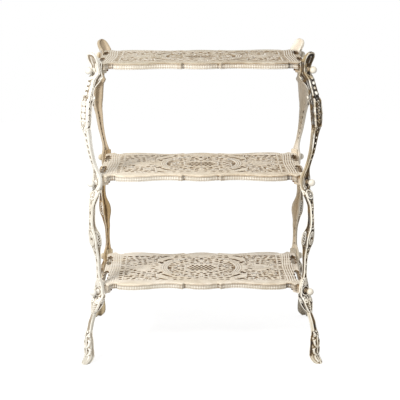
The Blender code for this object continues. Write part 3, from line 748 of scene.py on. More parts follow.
def carve_upper_wall(wall):
    """Dirt between the ribs first, then rims and ribs, then the knobs."""
    wall.soiled(890, 858, 1.0, 1.6)
    wall.soiled(858, 786, 2.0, 1.6)
    wall.soiled(786, 704, 1.2, 2.6)
    wall.ridge([(0.8, 890), (0.8, 700)], 1.6, 1.5)
    wall.ridge([(6.6, 888), (5.8, 874), (6.4, 858)], 1.7, 2.0)
    wall.ridge(wall.near_edge(890, 700, 1.8, 60), 1.9, 2.2)
    wall.ridge([(6.4, 858), (6.6, 838), (6.2, 820), (6.4, 802), (7.6, 786)], 1.6, 2.0)
    wall.ridge([(7.6, 786), (8.4, 760), (8.0, 735), (5.8, 712)], 1.4, 2.0)
    for height in WALL_KNOBS:
        middle = wall.half_at(height) - 5.0
        wall.bead(middle, height, 5.0, 4.0)
        wall.ridge(spiral((middle, height), 0.0, 1.0, 8.2, 7.6), 1.3, 2.0)
    for across, height in WALL_PITS:
        wall.pit(across, height, 1.8, 1.5)
    wall.groove([(7.0, 690), (6.2, 640), (5.0, 600)], 1.6, 1.1)


# %% [markdown]
# The middle casting is calmer. Its oval cartouche and its knee are what the eye rests on, and
# between them only two rims and a row of small holes run down the strap and the stem. The same
# tools carve it, so that its beads and rims match those of the upper casting.

# %% Middle post: eye, pierced strap, cartouche, stem, palmette and knee
MIDDLE_PIERCINGS = (482.0, 452.0, 419.0, 331.5, 305.0, 280.0, 256.5)
STRAP_STUDS = (495.0, 467.0, 435.5, 404.0)
STEM_STUDS = (345.0, 318.5, 292.0, 268.0)
EYE = 504.5
CARTOUCHE = 374.0
HALF_TURN = [math.pi * step / 12 for step in range(13)]
PALMETTE_FOOT = 229.0
PALMETTE_FINGERS = [math.radians(90 - 21 * step) for step in range(5)]
KNEE_VOLUTE = (10.2, 186)


def carve_middle_post(face):
    """From the eye down to the knee."""
    # the round eye under the middle shelf
    face.soiled(517, 488, 3.8, 1.2)
    face.ring(EYE, 11.6, 2.4, 3.0)
    face.ring(EYE, 6.2, 1.5, 2.0)
    face.bead(0.0, EYE, 3.6, 3.8)
    # the strap
    face.ridge(face.near_edge(514, 408, 1.9), 2.0, 2.4)
    for height in STRAP_STUDS:
        face.bead(0.0, height, 2.8, 2.8)
    # the cartouche: a dished oval in a rolled ring, with two bars and a pit in it
    face.soiled(410, 341, 3.8, 1.3)
    face.swell(408, 343, 1.8)
    face.ridge(face.near_edge(404, 346, 2.3), 2.4, 3.6)
    face.dish(CARTOUCHE, 8.6, 20.0, 2.4)
    oval = [(7.4 * math.sin(angle), CARTOUCHE + 20.0 * math.cos(angle)) for angle in HALF_TURN]
    face.ridge(oval, 1.9, 3.4)
    face.ridge([(0, 392), (1.2, 384), (0, 378)], 2.0, 3.0)
    face.ridge([(0, 370), (1.2, 364), (0, 357)], 2.0, 3.0)
    face.pit(0.0, CARTOUCHE, 2.8, 1.8)
    # the stem
    face.ridge(face.near_edge(345, 248, 1.6), 1.6, 2.0)
    for height in STEM_STUDS:
        face.bead(0.0, height, 2.2, 2.2)
    # the palmette over the bottom bolt
    face.soiled(246, 150, 4.0, 1.2)
    for angle in PALMETTE_FINGERS:
        tip = (15.5 * math.cos(angle), PALMETTE_FOOT + 21 * math.sin(angle))
        face.ridge([(0, PALMETTE_FOOT - 1), tip], 1.9, 2.4)
        face.bead(*tip, 2.6, 3.2)
    face.ridge(face.near_edge(240, 150, 2.1), 2.2, 3.0)
    face.ring(BOLTS["bottom"] / MM, 13.6, 1.8, 2.4)
    face.seat(BOLTS["bottom"] / MM, BOLT_SEAT)
    # the knee: two volutes, a midrib and veins
    face.ridge(spiral(KNEE_VOLUTE, math.radians(100), 1.4, 8.6, 1.8, -1), 2.2, 4.0)
    face.bead(*KNEE_VOLUTE, 3.0, 4.2)
    face.swell(184, 149, 2.0)
    face.ridge([(0, 194), (0, 150)], 1.7, 3.4)
    face.veins(176, 151, 6.4, 4.0, 5.5, 1.5, 1.9)


print("piercings in a post:", len(UPPER_PIERCINGS) + len(MIDDLE_PIERCINGS))

# %% [markdown]
# The middle casting's walls show at the same angle. Beside the strap they carry two rims, the
# side of the cartouche is an oval with four bars, and the knee has its big volute. They could be
# left plain, but seen from the side the post would then look unfinished.

# %% Walls of the middle post: rims, the cartouche's oval eye and the knee's volute
FULL_TURN = [math.pi * step / 12 for step in range(25)]
CARTOUCHE_BARS = (385.0, 377.5, 370.0, 362.5)
WALL_CARTOUCHE = (12.2, 374.0)
WALL_VOLUTE = (9.6, 184)


def carve_middle_wall(wall):
    """Two rims beside the strap, bars in the oval eye, and the knee's big volute."""
    wall.soiled(505, 396, 1.8, 1.6)
    wall.soiled(396, 350, 1.2, 2.2)
    wall.soiled(350, 250, 1.8, 1.6)
    wall.ridge([(1.0, 505), (1.0, 250)], 1.6, 1.4)
    wall.ridge(wall.near_edge(505, 250, 1.8, 50), 1.9, 1.9)
    across, height = WALL_CARTOUCHE
    oval = [(across + 7.2 * math.cos(a), height + 19.0 * math.sin(a)) for a in FULL_TURN]
    wall.ridge(oval, 1.7, 2.4)
    for height in CARTOUCHE_BARS:
        wall.ridge([(9.4, height - 2.0), (15.0, height + 2.0)], 1.4, 2.2)
    wall.soiled(206, 156, 1.2, 2.0)
    wall.ridge(wall.near_edge(206, 150, 2.2), 2.4, 2.4)
    wall.ridge(spiral(WALL_VOLUTE, math.radians(80), 1.4, 8.0, 2.0), 1.7, 2.6)
    wall.bead(*WALL_VOLUTE, 2.8, 3.2)
    wall.ridge([(0.8, 204), (0.8, 152)], 1.5, 1.6)


# %% [markdown]
# The leg is a slim fluted shaft that ends in a leaf. The leaf's lobes curl up and out at both
# sides of a strong midrib, and its toe splits into three ridges that run down towards the floor.
# Each lobe is one bent ridge with its tip turned in, which is enough at this size, where lobes
# modelled as leaves of their own would only make a rougher casting.

# %% Leg: fluted shaft, collar and leafy foot
FOOT_LOBES = ((62.0, 11.2), (37.0, 12.8))
TOE_RIDGES = ((0.0, 2, 2.6), (8.6, 9, 3.0))


def carve_leg(face):
    """From the shaft down to the toe."""
    # the fluted shaft
    face.soiled(148, 99, 2.4, 1.2)
    face.groove([(0.0, 147), (0.0, 100)], 3.2, 2.0)
    face.ridge(face.near_edge(147, 98, 2.0), 2.1, 2.2)
    # the collar
    face.soiled(99, 16, 3.2, 1.5)
    face.ridge(spiral((8.0, 87), math.radians(90), 1.2, 6.4, 1.6, -1), 2.1, 3.8)
    face.bead(8.0, 87, 2.6, 4.0)
    face.bead(0.0, 95, 3.4, 3.6)
    # the leaf
    face.swell(84, 8, 2.0)
    face.ridge([(0, 82), (0, 30)], 2.5, 5.0)
    for height, reach in FOOT_LOBES:
        curl = [(3.4, height - 13.0), (reach - 2.0, height - 6.0), (reach, height + 6.0)]
        face.ridge(curl, 3.4, 4.6)
        face.ridge([(reach, height + 6.0), (reach - 3.6, height + 9.0)], 2.8, 4.0)
        face.pit(5.6, height + 2.0, 3.0, 2.0)
    for across, tip, rise in TOE_RIDGES:
        face.ridge([(across, 22), (across * 0.9, 13), (across * 0.75, tip)], 4.0, rise)


def carve_leg_wall(wall):
    """Only a rim along the back edge of the leaf."""
    wall.soiled(96, 20, 2.0, 1.0)
    wall.ridge(wall.near_edge(98, 6, 2.4), 2.4, 1.6)


def uncarved(face):
    """A tongue is left as cast."""
    face.soiled(600, 0, 3.0, 0.3)


print("lobes of a foot:", 2 * len(FOOT_LOBES))

# %% [markdown]
# ### Where grime stays
#
# The relief also says where grime stays and where paint is rubbed. A blurred copy of the face is
# what a cloth would follow: whatever lies below it is a hollow that keeps its dirt, and whatever
# stands above it is an edge that gets polished, and its pale paint is also a painted highlight.
# Both could be brushed on by hand in weight paint mode, but worked out from the relief they are
# right at every bead and groove.

# %% Grime and rub, worked out from a relief
BLUR = 2.4 * MM
DEEP_HOLLOW = 0.95 * MM
PROUD_EDGE = 0.8 * MM
PROUD_OF_SOIL = 2.2


def blurred(field, spread_rows, spread_columns):
    """Gaussian blur of a table of heights, with its edges held."""
    result = field
    for axis, spread in ((0, spread_rows), (1, spread_columns)):
        reach = max(int(3 * spread), 1)
        steps = np.arange(-reach, reach + 1)
        weights = np.exp(-0.5 * (steps / spread) ** 2)
        weights /= weights.sum()
        padding = [(reach, reach) if a == axis else (0, 0) for a in (0, 1)]
        padded = np.pad(result, padding, mode="edge")
        size = result.shape[axis]
        parts = [np.take(padded, np.arange(size) + k, axis) * w for k, w in enumerate(weights)]
        result = sum(parts)
    return result


def grime_and_rub_highlight(carving, relief, column_step):
    """Grime in the hollows of a relief and round whatever stands proud, and its rubbed edges, painted
    pale as highlights too.
    """
    stand = relief - blurred(relief, BLUR / ROW_STEP, BLUR / column_step)
    proud = np.clip(carving.relief / PROUD_OF_SOIL, 0.0, 1.0)
    grime = np.clip(-stand / DEEP_HOLLOW, 0.0, 1.0) + carving.soil * (1.0 - proud)
    return grime, np.clip(stand / PROUD_EDGE, 0.0, 1.0)


# %% [markdown]
# ### From a sheet to a closed skin
#
# A casting is one skin of metal without an open edge. It could be built face by face, but the
# bmesh grid operator gives a sheet of quads in one go. The sheet is rolled round the section and
# welded along its seam, its two ends are filled, and its normals are turned outward. The same
# function serves the posts, the aprons and the nuts.

# %% Roll a sheet into a closed skin
SEAM = 0.001 * MM


def paint_layers(shape):
    """The two attributes that the paint reads: grime, and rub with its painted highlight."""
    return [shape.verts.layers.float.new(key) for key in ("grime", "rub_and_highlight")]


def finished_mesh(shape, name, sharp):
    """A mesh from a bmesh, smooth except where its faces meet at more than the sharp angle."""
    mesh = bpy.data.meshes.new(name)
    shape.to_mesh(mesh)
    shape.free()
    mesh.shade_smooth()
    mesh.set_sharp_from_angle(angle=math.radians(sharp))
    return mesh


def closed_skin(places, values, name, sharp=62):
    """Roll a sheet of quads round a section, weld the seam and close the ends."""
    rows, columns = places.shape[:2]
    shape = bmesh.new()
    bmesh.ops.create_grid(shape, x_segments=columns, y_segments=rows - 1, size=0.5)
    layers = paint_layers(shape)
    for vert in shape.verts:
        row = round((vert.co.y + 0.5) * (rows - 1))
        column = round((vert.co.x + 0.5) * columns) % columns
        vert.co = places[row, column]
        for layer, value in zip(layers, values):
            vert[layer] = value[row, column]
    bmesh.ops.remove_doubles(shape, verts=shape.verts, dist=SEAM)
    open_edges = [edge for edge in shape.edges if edge.is_boundary]
    bmesh.ops.holes_fill(shape, edges=open_edges, sides=0)
    bmesh.ops.triangulate(shape, faces=[face for face in shape.faces if len(face.verts) > 4])
    bmesh.ops.recalc_face_normals(shape, faces=shape.faces)
    return finished_mesh(shape, name, sharp)


# %% [markdown]
# ### Face, walls and back
#
# Round its section a post has four stretches. The face is crowned, its edges are rounded over,
# and its carving stands on it. The walls run back from there. The back is cored out, because a
# casting of even thickness cools without cracks, but it is solid at each bolt, where it has to
# bear on the lug. The straps' piercings could be cut with a boolean. As pits pressed in from both
# sides they look the same, and the skin stays closed.

# %% Piercings and the carved face
FRONT_STEPS = 28
# the face falls away from its middle line by a share of the depth, which counts up to a limit
CROWN_SHARE = 0.30
CROWN_DEPTH = 13 * MM
CROWN_POWER = 2.3
# the rounding of the edge, which starts at a share of the half width
EDGE_ROUND = 1.1 * MM
EDGE_START = 0.88
PIERCING_HALF_WIDTH = 3.1 * MM
PIERCING_HALF_HEIGHT = 5.2 * MM
PIERCING_DEPTH = 3.2 * MM
# a piercing's wall, in shares of its size
PIERCING_SLOPE = 0.45
PIERCING_RIM = 1.15
# a pit in the face is deeper than one in the back, but leaves a floor over the hollow
FACE_PIT_DEPTH = PIERCING_DEPTH + 1.5 * MM
PIT_FLOOR = 1.6 * MM
PIT_COVER = 3.0 * MM
LEAST_BODY = 2.0 * MM


def pierced(across, heights, places):
    """How far each point is inside one of the small oval piercings, from 0 to 1."""
    deep = np.zeros(across.shape)
    for place in places:
        up = (heights - place * MM) / PIERCING_HALF_HEIGHT
        share = np.hypot(across / PIERCING_HALF_WIDTH, up)
        deep = np.maximum(deep, step_between(0.0, PIERCING_SLOPE, PIERCING_RIM - share))
    return deep


def carved_front(outline, carve, cored, piercings):
    """Points across the face, how far out they lie, their grime with the painted shade of its pits, and
    their rub with its painted highlight.
    """
    heights, reach, width, depth = outline
    shares = np.linspace(-1.0, 1.0, FRONT_STEPS + 1)[None, :]
    across = width / 2 * shares
    face = Carving(across, heights, width / 2)
    carve(face)
    relief = face.relief * MM
    crown = CROWN_SHARE * np.minimum(depth, CROWN_DEPTH) * np.abs(shares) ** CROWN_POWER
    edge = EDGE_ROUND * np.clip((np.abs(shares) - EDGE_START) / (1 - EDGE_START), 0.0, 1.0) ** 2
    back = reach - depth
    cut = pierced(across, heights, piercings)
    front = reach - crown - edge + relief * (1.0 - cut)
    floor = np.maximum(np.minimum(cored, reach - PIT_COVER), back) + PIT_FLOOR
    front = np.maximum(front - FACE_PIT_DEPTH * cut, np.minimum(floor, front))
    front = np.maximum(front, back + LEAST_BODY)
    grime, rub_and_highlight = grime_and_rub_highlight(face, relief, width.mean() / FRONT_STEPS)
    # the piercings' pits are painted dark inside: dirt, and the painted shade of a hole
    return across, front, grime + PIT_SHADE_AND_SOIL * cut, rub_and_highlight * (1.0 - cut)


# %% [markdown]
# The carving of the walls fades where the casting is shallow. The hollow behind is a trough with
# a flat floor. It could be scooped out with a boolean, but as a depth over the back it is part
# of the same sheet, and its floor can come up to a flat seat at each bolt.

# %% Walls and hollow back
WALL_STEPS = 16
BACK_STEPS = 14
# the shallower a wall is, the flatter is its carving
FLAT_WALL = 5 * MM
FULL_WALL = 14 * MM
# the hollow's share of the half width, and its depth, which leaves the face its thickness
HOLLOW_SHARE = 0.66
HOLLOW_SLOPE = 0.16
HOLLOW_DEPTH_SHARE = 0.5
FACE_THICKNESS = 7 * MM
# how far the solid pad reaches up and down from a bolt
BOLT_PAD = 14 * MM
PAD_SLOPE = 5 * MM
# the finial's back is seen from above, and its hollow is darkened with dirt and with painted shade of
# the cup
LEAF_BACK = (878 * MM, 886 * MM)
BACK_GRIME = 0.1
HOLLOW_GRIME = 0.1
LEAF_BACK_SHADE_AND_GRIME = 0.45
# the back of each piercing is darkened too, with dirt and painted shade
BACK_PIT_SHADE_AND_GRIME = 0.8


def carved_wall(outline, carve_wall):
    """Shares from face to back, how far the wall stands out there, its grime, and its rub with its
    painted highlight.
    """
    heights, _, width, depth = outline
    shares = np.linspace(0.0, 1.0, WALL_STEPS + 1)[None, 1:]
    wall = Carving(depth * shares, heights, depth)
    carve_wall(wall)
    relief = wall.relief * MM * step_between(FLAT_WALL, FULL_WALL, depth)
    grime, rub_and_highlight = grime_and_rub_highlight(wall, relief, depth.mean() / WALL_STEPS)
    return shares, width / 2 + relief, grime, rub_and_highlight


def core_floor(outline, seats):
    """How far out the floor of the hollow back lies: deep, except at each bolt's flat seat."""
    heights, reach, _, depth = outline
    cored = reach - depth + np.maximum(HOLLOW_DEPTH_SHARE * depth, depth - FACE_THICKNESS)
    for bolt, seat_back in seats:
        near = 1.0 - step_between(BOLT_PAD, BOLT_PAD + PAD_SLOPE, np.abs(heights - bolt))
        cored = cored + (seat_back - cored) * near
    return cored


def hollow_back(outline, cored, piercings):
    """Points across the back, how far out they lie, and their grime."""
    heights, reach, width, depth = outline
    back = reach - depth
    shares = np.linspace(1.0, -1.0, BACK_STEPS + 1)[None, 1:-1]
    hollow = step_between(0.0, HOLLOW_SLOPE, HOLLOW_SHARE - np.abs(shares))
    across = width / 2 * shares
    through = pierced(across, heights, piercings)
    behind = back + (cored - back) * hollow + PIERCING_DEPTH * through
    leaf_back = step_between(*LEAF_BACK, heights)
    hollow_grime = HOLLOW_GRIME + LEAF_BACK_SHADE_AND_GRIME * leaf_back
    return across, behind, BACK_GRIME + hollow_grime * hollow + BACK_PIT_SHADE_AND_GRIME * through


# %% [markdown]
# The four stretches are set side by side in one table of points, from the face over one wall and
# the back to the other wall, and that table is the sheet that gets rolled. A finished piece gets
# a mesh of its own with its place in it, rides on the stand's root and takes over from its solid.
# The object could be moved into place instead, but the frame wants every piece at the origin.

# %% One post casting, and how a piece is handed to the frame
def post_casting(rows, carve, carve_wall, seats, piercings, name):
    """Carved face, two carved walls and a hollow back, joined into one skin.

    seats are the bolts' heights, each with how far out the casting's flat back lies there.
    """
    outline = [column[:, None] for column in outline_of(rows)]
    heights, reach, _, depth = outline
    back = reach - depth
    cored = core_floor(outline, seats)
    across, front, grime, rub_and_highlight = carved_front(outline, carve, cored, piercings)
    wall_shares, wall_across, wall_grime, wall_rub_and_highlight = carved_wall(outline, carve_wall)
    back_across, behind, back_grime = hollow_back(outline, cored, piercings)
    right_wall = front[:, -1:] + (back - front[:, -1:]) * wall_shares
    left_wall = (front[:, :1] + (back - front[:, :1]) * wall_shares)[:, ::-1]
    x = np.hstack((front, right_wall, behind, left_wall))
    y = np.hstack((across, wall_across, back_across, -wall_across[:, ::-1]))
    places = np.dstack((x, y, np.repeat(heights, x.shape[1], 1)))
    grime = np.hstack((grime, wall_grime, back_grime, wall_grime[:, ::-1]))
    rub_and_highlight = np.hstack((rub_and_highlight, wall_rub_and_highlight, np.zeros_like(back_grime), wall_rub_and_highlight[:, ::-1]))
    return closed_skin(places, (grime, rub_and_highlight), name)


def place_piece(mesh, name, matrix, material, slot, *nodes):
    """Put a copy of a mesh in its place and hand it to the frame."""
    own = mesh.copy()
    own.name = name
    own.transform(matrix)
    own.materials.clear()
    own.materials.append(material)
    piece = bpy.data.objects.new(name, own)
    bpy.context.scene.collection.objects.link(piece)
    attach(piece, "root")
    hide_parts(*nodes)
    return piece


# %% [markdown]
# ### Twelve castings and eight tongues
#
# Three kinds of casting make a corner, lapped where they meet: a flat tongue of the lower one
# goes up behind the pad of the upper one, and one bolt holds both. The tongue is left as cast,
# and it is a piece of its own here, so that each of the two keeps an even mesh. The meshes are
# made once for each kind and copied to the four corners.

# %% Cast the posts
TONGUE_BACK = 9.8 * MM
LAP_BACK = 15.3 * MM
UPPER_SEATS = ((BOLTS["top"], TONGUE_BACK), (BOLTS["middle"], LAP_BACK))
MIDDLE_SEATS = ((BOLTS["bottom"], LAP_BACK),)
CASTINGS = {
    "upper_post": (
        UPPER_POST_ROWS, carve_upper_post, carve_upper_wall, UPPER_SEATS, UPPER_PIERCINGS,
    ),
    "middle_post": (
        MIDDLE_POST_ROWS, carve_middle_post, carve_middle_wall, MIDDLE_SEATS, MIDDLE_PIERCINGS,
    ),
    "leg": (LEG_ROWS, carve_leg, carve_leg_wall, (), ()),
}
TONGUES = {"middle_post": (MIDDLE_TONGUE_ROWS, "middle"), "leg": (LEG_TONGUE_ROWS, "bottom")}
for kind, (rows, *rest) in CASTINGS.items():
    castings = {"carved": post_casting(rows, *rest, kind)}
    if kind in TONGUES:
        tongue_rows, level = TONGUES[kind]
        seats = ((BOLTS[level], TONGUE_BACK),)
        name = f"{kind}_tongue"
        castings["tongue"] = post_casting(tongue_rows, uncarved, uncarved, seats, (), name)
    for corner in CORNERS:
        node_name = f"{kind}_{corner}"
        for part, mesh in castings.items():
            piece_name = f"{part}_{node_name}"
            matrix = corner_matrix(corner)
            place_piece(mesh, piece_name, matrix, paints[node_name], "post_paint", node_name)
    print(kind, "faces:", {part: len(mesh.polygons) for part, mesh in castings.items()})

# %% [markdown]
# ## Pierced shelf plates
#
# A shelf plate is the same in its four quarters, so one quarter is drawn and mirrored twice. The
# long edge has a small bow in its middle and a wide sweep beside it, the corner ends in a nose
# that the post stands against, and the end is nearly straight.

# %% The quarter's outline, in millimetres from the middle of the shelf
# X and Y for the long edge and the nose, Y and X for the end
BOW = ((-24, 188), (0, 191.9), (24, 188), (38, 181.5), (50, 176))
SWEEP = (
    (57.6, 188), (64, 182.5), (72.7, 178.7), (97, 174), (127, 177), (160.6, 187.5),
    (191, 194.8), (221, 194.8), (240, 190), (251, 185),
)
NOSE = ((254, 174.5), (260, 175), (265, 178), (269, 183.5), (272.7, 190.6), (277, 200))
END_EDGE = ((0, 300), (52.2, 300), (121.8, 301.35), (174, 303))


def quarter_edge():
    """The outline from the middle of the long edge to the middle of the end."""
    bow = np.linspace(0, BOW[-1][0], 26)
    sweep = np.linspace(SWEEP[0][0], SWEEP[-1][0], 90)
    end = np.linspace(END_EDGE[-1][0], 0, 60)
    points = list(zip(bow, smooth_curve(BOW, bow)[:, 0]))
    points += list(zip(sweep, smooth_curve(SWEEP, sweep)[:, 0]))
    points += list(NOSE) + list(zip(smooth_curve(END_EDGE, end)[:, 0], end))
    return points


def inside_ring(x, y, ring):
    """Whether each point lies inside a closed run of points."""
    within = np.zeros(x.shape, bool)
    for (x0, y0), (x1, y1) in zip(ring, ring[1:] + ring[:1]):
        if y0 != y1:
            crossing = x0 + (y - y0) * (x1 - x0) / (y1 - y0)
            within ^= ((y0 > y) != (y1 > y)) & (x < crossing)
    return within


def inside_edge(x, y, points):
    """Distance in from an outline round the shelf's middle, negative outside it."""
    distance = distance_to_line(x, y, points)
    return np.where(inside_ring(x, y, [(0.0, 0.0)] + points), distance, -distance)


EDGE = quarter_edge()
print("points in a quarter's outline:", len(EDGE))

# %% [markdown]
# ### The openwork
#
# The holes were cast, not drilled: pointed ones that lean round the eyes of the scrolls, a
# lattice of diamonds in the middle, long slots beside the big oval band and lobed openings at the
# ends. Each could be cut with a boolean, which is slow and leaves poor faces for hundreds of
# holes. Here every hole is a distance instead, negative inside it, and the least of all the
# distances is a field that says for any point how far it is from the nearest cut.

# %% Holes of a quarter, in millimetres from the middle of the shelf
# the eyes that the leaves curl round
EYES = ((208, 72), (162, 86), (229, 24), (146, 30), (232, 118), (184, 128), (142, 122), (104, 124))
INNER_EYES = ((77, 76), (82, 18), (38, 98), (44, 62))
# place, length and width of the pointed holes
LEAF_HOLES = (
    (245, 9, 12, 7), (245, 46, 13, 8), (246, 71, 12, 8), (245, 93, 12, 8), (246, 116, 12, 8),
    (244, 137, 11, 7), (230, 41, 11, 7), (229, 60, 11, 7), (229, 77, 12, 7), (228, 98, 13, 8),
    (216, 24, 10, 7), (229, 10, 9, 6), (227, 141, 14, 8), (207, 143, 14, 7), (190, 143, 14, 7),
    (171, 142, 14, 7), (221, 121, 12, 8), (205, 124, 12, 8), (215, 101, 12, 7), (197, 107, 13, 8),
    (181, 108, 12, 8), (166, 121, 12, 8), (155, 131, 11, 7), (161, 107, 12, 7), (146, 104, 13, 8),
    (212, 87, 12, 7), (195, 86, 12, 8), (193, 66, 13, 8), (210, 54, 13, 8), (179, 88, 12, 8),
    (176, 70, 12, 7), (161, 68, 13, 8), (145, 84, 12, 8), (193, 44, 13, 7), (176, 50, 12, 7),
    (160, 44, 12, 7), (142, 48, 12, 8), (205, 30, 12, 7), (150, 14, 12, 7), (138, 30, 10, 6),
    (132, 66, 12, 8), (137, 118, 12, 8), (132, 139, 12, 7), (152, 146, 10, 6),
)
RING_HOLES = (
    (99, 7, 13, 9), (94, 27, 12, 8), (90, 46, 12, 8), (81, 6, 12, 8), (70, 20, 12, 8),
    (82, 31, 11, 7), (75, 50, 12, 8), (62, 62, 12, 8), (86, 64, 11, 7), (63, 84, 12, 8),
    (74, 97, 12, 8), (87, 88, 11, 7), (52, 100, 12, 8), (60, 34, 11, 7), (57, 14, 10, 7),
    (48, 78, 12, 8), (36, 112, 12, 8), (23, 106, 12, 8), (27, 84, 12, 8), (0, 108, 12, 9),
    (14, 92, 12, 7), (29, 62, 13, 8), (10, 72, 12, 7), (14, 124, 14, 7), (38, 130, 13, 6),
    (58, 124, 12, 7), (45, 44, 12, 7), (20, 52, 10, 7), (0, 56, 10, 7),
    (81, 122, 13, 7), (60, 144, 14, 6), (79, 141, 13, 6),
)
# runs of the long slots, with their half width
SLOTS = (
    (((91, 107), (99, 101), (108, 92), (117, 80)), 3.4),
    (((104, 142), (110, 140), (118, 134), (125, 127)), 3.2),
    (((121, 66), (126, 60), (124, 52)), 3.2),
)
# a slot starts at this share of its width and is full after this length
SLOT_TIP = 0.55
SLOT_TAPER = 12.0
# width and height of a diamond, their pitch, and the half axes of the oval that holds them
LATTICE_ROWS = 3
LATTICE_COLUMNS = 4
LATTICE_HOLE = (7.2, 13.0)
LATTICE_PITCH = (13.6, 13.0)
LATTICE_REACH = (41.0, 37.0)
# middle, half length and half width of the opening at the end, and the waves of its sides
END_OPENING = (291.5, 92.0, 57.0, 8.0)
LOBES = 3
LOBE_DEPTH = 0.3
# a field that is measured along X is longer than the distance square to a slanting side
DIAMOND_SLANT = 0.87
OPENING_SLANT = 0.85
# no hole bends round an eye more tightly, or has a steeper side at its tips, than this
LEAST_BEND = 7.0
STEEPEST_SIDE = 1.6
print("holes drawn in a quarter:", len(LEAF_HOLES) + len(RING_HOLES) + len(SLOTS))


# %% [markdown]
# Each kind of hole is a small formula that says how far a point is from its edge: zero on the
# edge, and negative inside. The nearest hole counts. Every hole could be a curve to cut with, but
# a boolean with some 350 cuts in a thin plate is slow and easily fails, while taking the smallest
# of a few distances can't fail.

# %% The field of all the holes
def pointed_hole(x, y, hole, eyes):
    """Distance to a pointed hole that bends round the nearest eye, negative inside."""
    place_x, place_y, length, width = hole
    eye_x, eye_y = min(eyes, key=lambda eye: math.hypot(eye[0] - place_x, eye[1] - place_y))
    radius = max(math.hypot(place_x - eye_x, place_y - eye_y), LEAST_BEND)
    lean = math.atan2(place_y - eye_y, place_x - eye_x)
    out_x, out_y = math.cos(lean), math.sin(lean)
    u = (y - place_y) * out_x - (x - place_x) * out_y
    v = (x - place_x) * out_x + (y - place_y) * out_y + u * u / (2 * radius)
    taper = width / 2 * (1 - (2 * u / length) ** 2)
    slope = np.minimum(np.abs(4 * u * width / length**2), STEEPEST_SIDE)
    return (np.abs(v) - taper) / np.sqrt(1 + slope**2)


def slot(x, y, points, half_width):
    """Distance to a slot that is narrower where it starts."""
    from_start = np.hypot(x - points[0][0], y - points[0][1])
    taper = SLOT_TIP + (1 - SLOT_TIP) * np.clip(from_start / SLOT_TAPER, 0.0, 1.0)
    return distance_to_line(x, y, points) - half_width * taper


def lattice(x, y):
    """Distance to the nearest diamond of the lattice, whose rows are shifted in turn."""
    nearest = np.full(x.shape, np.inf)
    wide, tall = LATTICE_HOLE
    for row in range(LATTICE_ROWS):
        for column in range(LATTICE_COLUMNS):
            place_x = (column + 0.5 * (row % 2)) * LATTICE_PITCH[0]
            place_y = row * LATTICE_PITCH[1]
            if math.hypot(place_x / LATTICE_REACH[0], place_y / LATTICE_REACH[1]) < 1.0:
                reach = np.abs(x - place_x) / wide + np.abs(y - place_y) / tall
                nearest = np.minimum(nearest, (reach - 0.5) * wide * DIAMOND_SLANT)
    return nearest


def end_opening(x, y):
    """Distance to the opening at the end, whose sides wave in lobes."""
    middle_x, middle_y, half_length, half_width = END_OPENING
    share = (y - middle_y) / half_length
    wave = 1 + LOBE_DEPTH * np.cos(LOBES * math.pi * share)
    beside = np.abs(x - middle_x) - half_width * np.sqrt(np.clip(1.0 - share**2, 0.0, 1.0)) * wave
    return np.maximum(beside, np.abs(y - middle_y) - half_length) * OPENING_SLANT


def solid_field(x, y):
    """Distance to the nearest cut edge of the plate and to the nearest hole alone."""
    x, y = np.abs(x), np.abs(y)
    holes = np.minimum(lattice(x, y), end_opening(x, y))
    for table, eyes in ((LEAF_HOLES, EYES), (RING_HOLES, INNER_EYES)):
        for hole in table:
            holes = np.minimum(holes, pointed_hole(x, y, hole, eyes))
    for points, half_width in SLOTS:
        holes = np.minimum(holes, slot(x, y, points, half_width))
    return np.minimum(holes, inside_edge(x, y, EDGE)), holes


# %% [markdown]
# ### The relief of a plate
#
# The relief is laid over the sheet with the same carving tools as the posts: the oval band, the
# scrolls and their eyes, the veins of the long leaf, a round shoulder at each hole, so that the
# strands between the holes are round like stems, and the mouldings that follow the outline. The
# fields between the scrolls lie a little below the bands that frame them.

# %% Bands, scrolls and sunk fields
OVAL_BAND = (
    (117, 0), (116.5, 15), (114, 32), (109, 50), (100, 68), (88, 83), (72, 97), (54, 108),
    (36, 115), (18, 118.5), (0, 119.5),
)
OVAL_HALF = (117, 119)
# offset from the band's middle, half width and height of its three ribs
OVAL_RIBS = ((-9.0, 2.6, 1.5), (-2.5, 2.6, 1.2), (4.0, 2.4, 1.5))
LONG_LEAF = ((203, 0), (190, 9), (176, 13), (162, 12), (150, 6), (143, 0))
LEAF_RIB = ((143, 0), (203, 0))
LEAF_VEINS = range(150, 200, 7)
VEIN_RUN = (7, 10)
# the lines that run beside each end, by their distance from it, and how far they bulge
END_LINES = (16.0, 23.0, 30.0, 37.0, 44.0)
END_LINE_LENGTH = 162
END_LINE_BULGE = 3.0
OVAL_FIELD_HALF = (106.7, 109.0)
OVAL_FIELD = [
    (OVAL_FIELD_HALF[0] * math.cos(angle), OVAL_FIELD_HALF[1] * math.sin(angle))
    for angle in (math.radians(degrees) for degrees in range(0, 91, 6))
]
SIDE_FIELD = ((139, 60), (170, 30), (238, 30), (238, 149), (133, 149), (139, 60))


def scroll_run(centre, start, turns, wide, narrow, side):
    """A volute of the plate, with more points than those of the posts."""
    return spiral(centre, math.radians(start), turns, wide, narrow, side, 26)


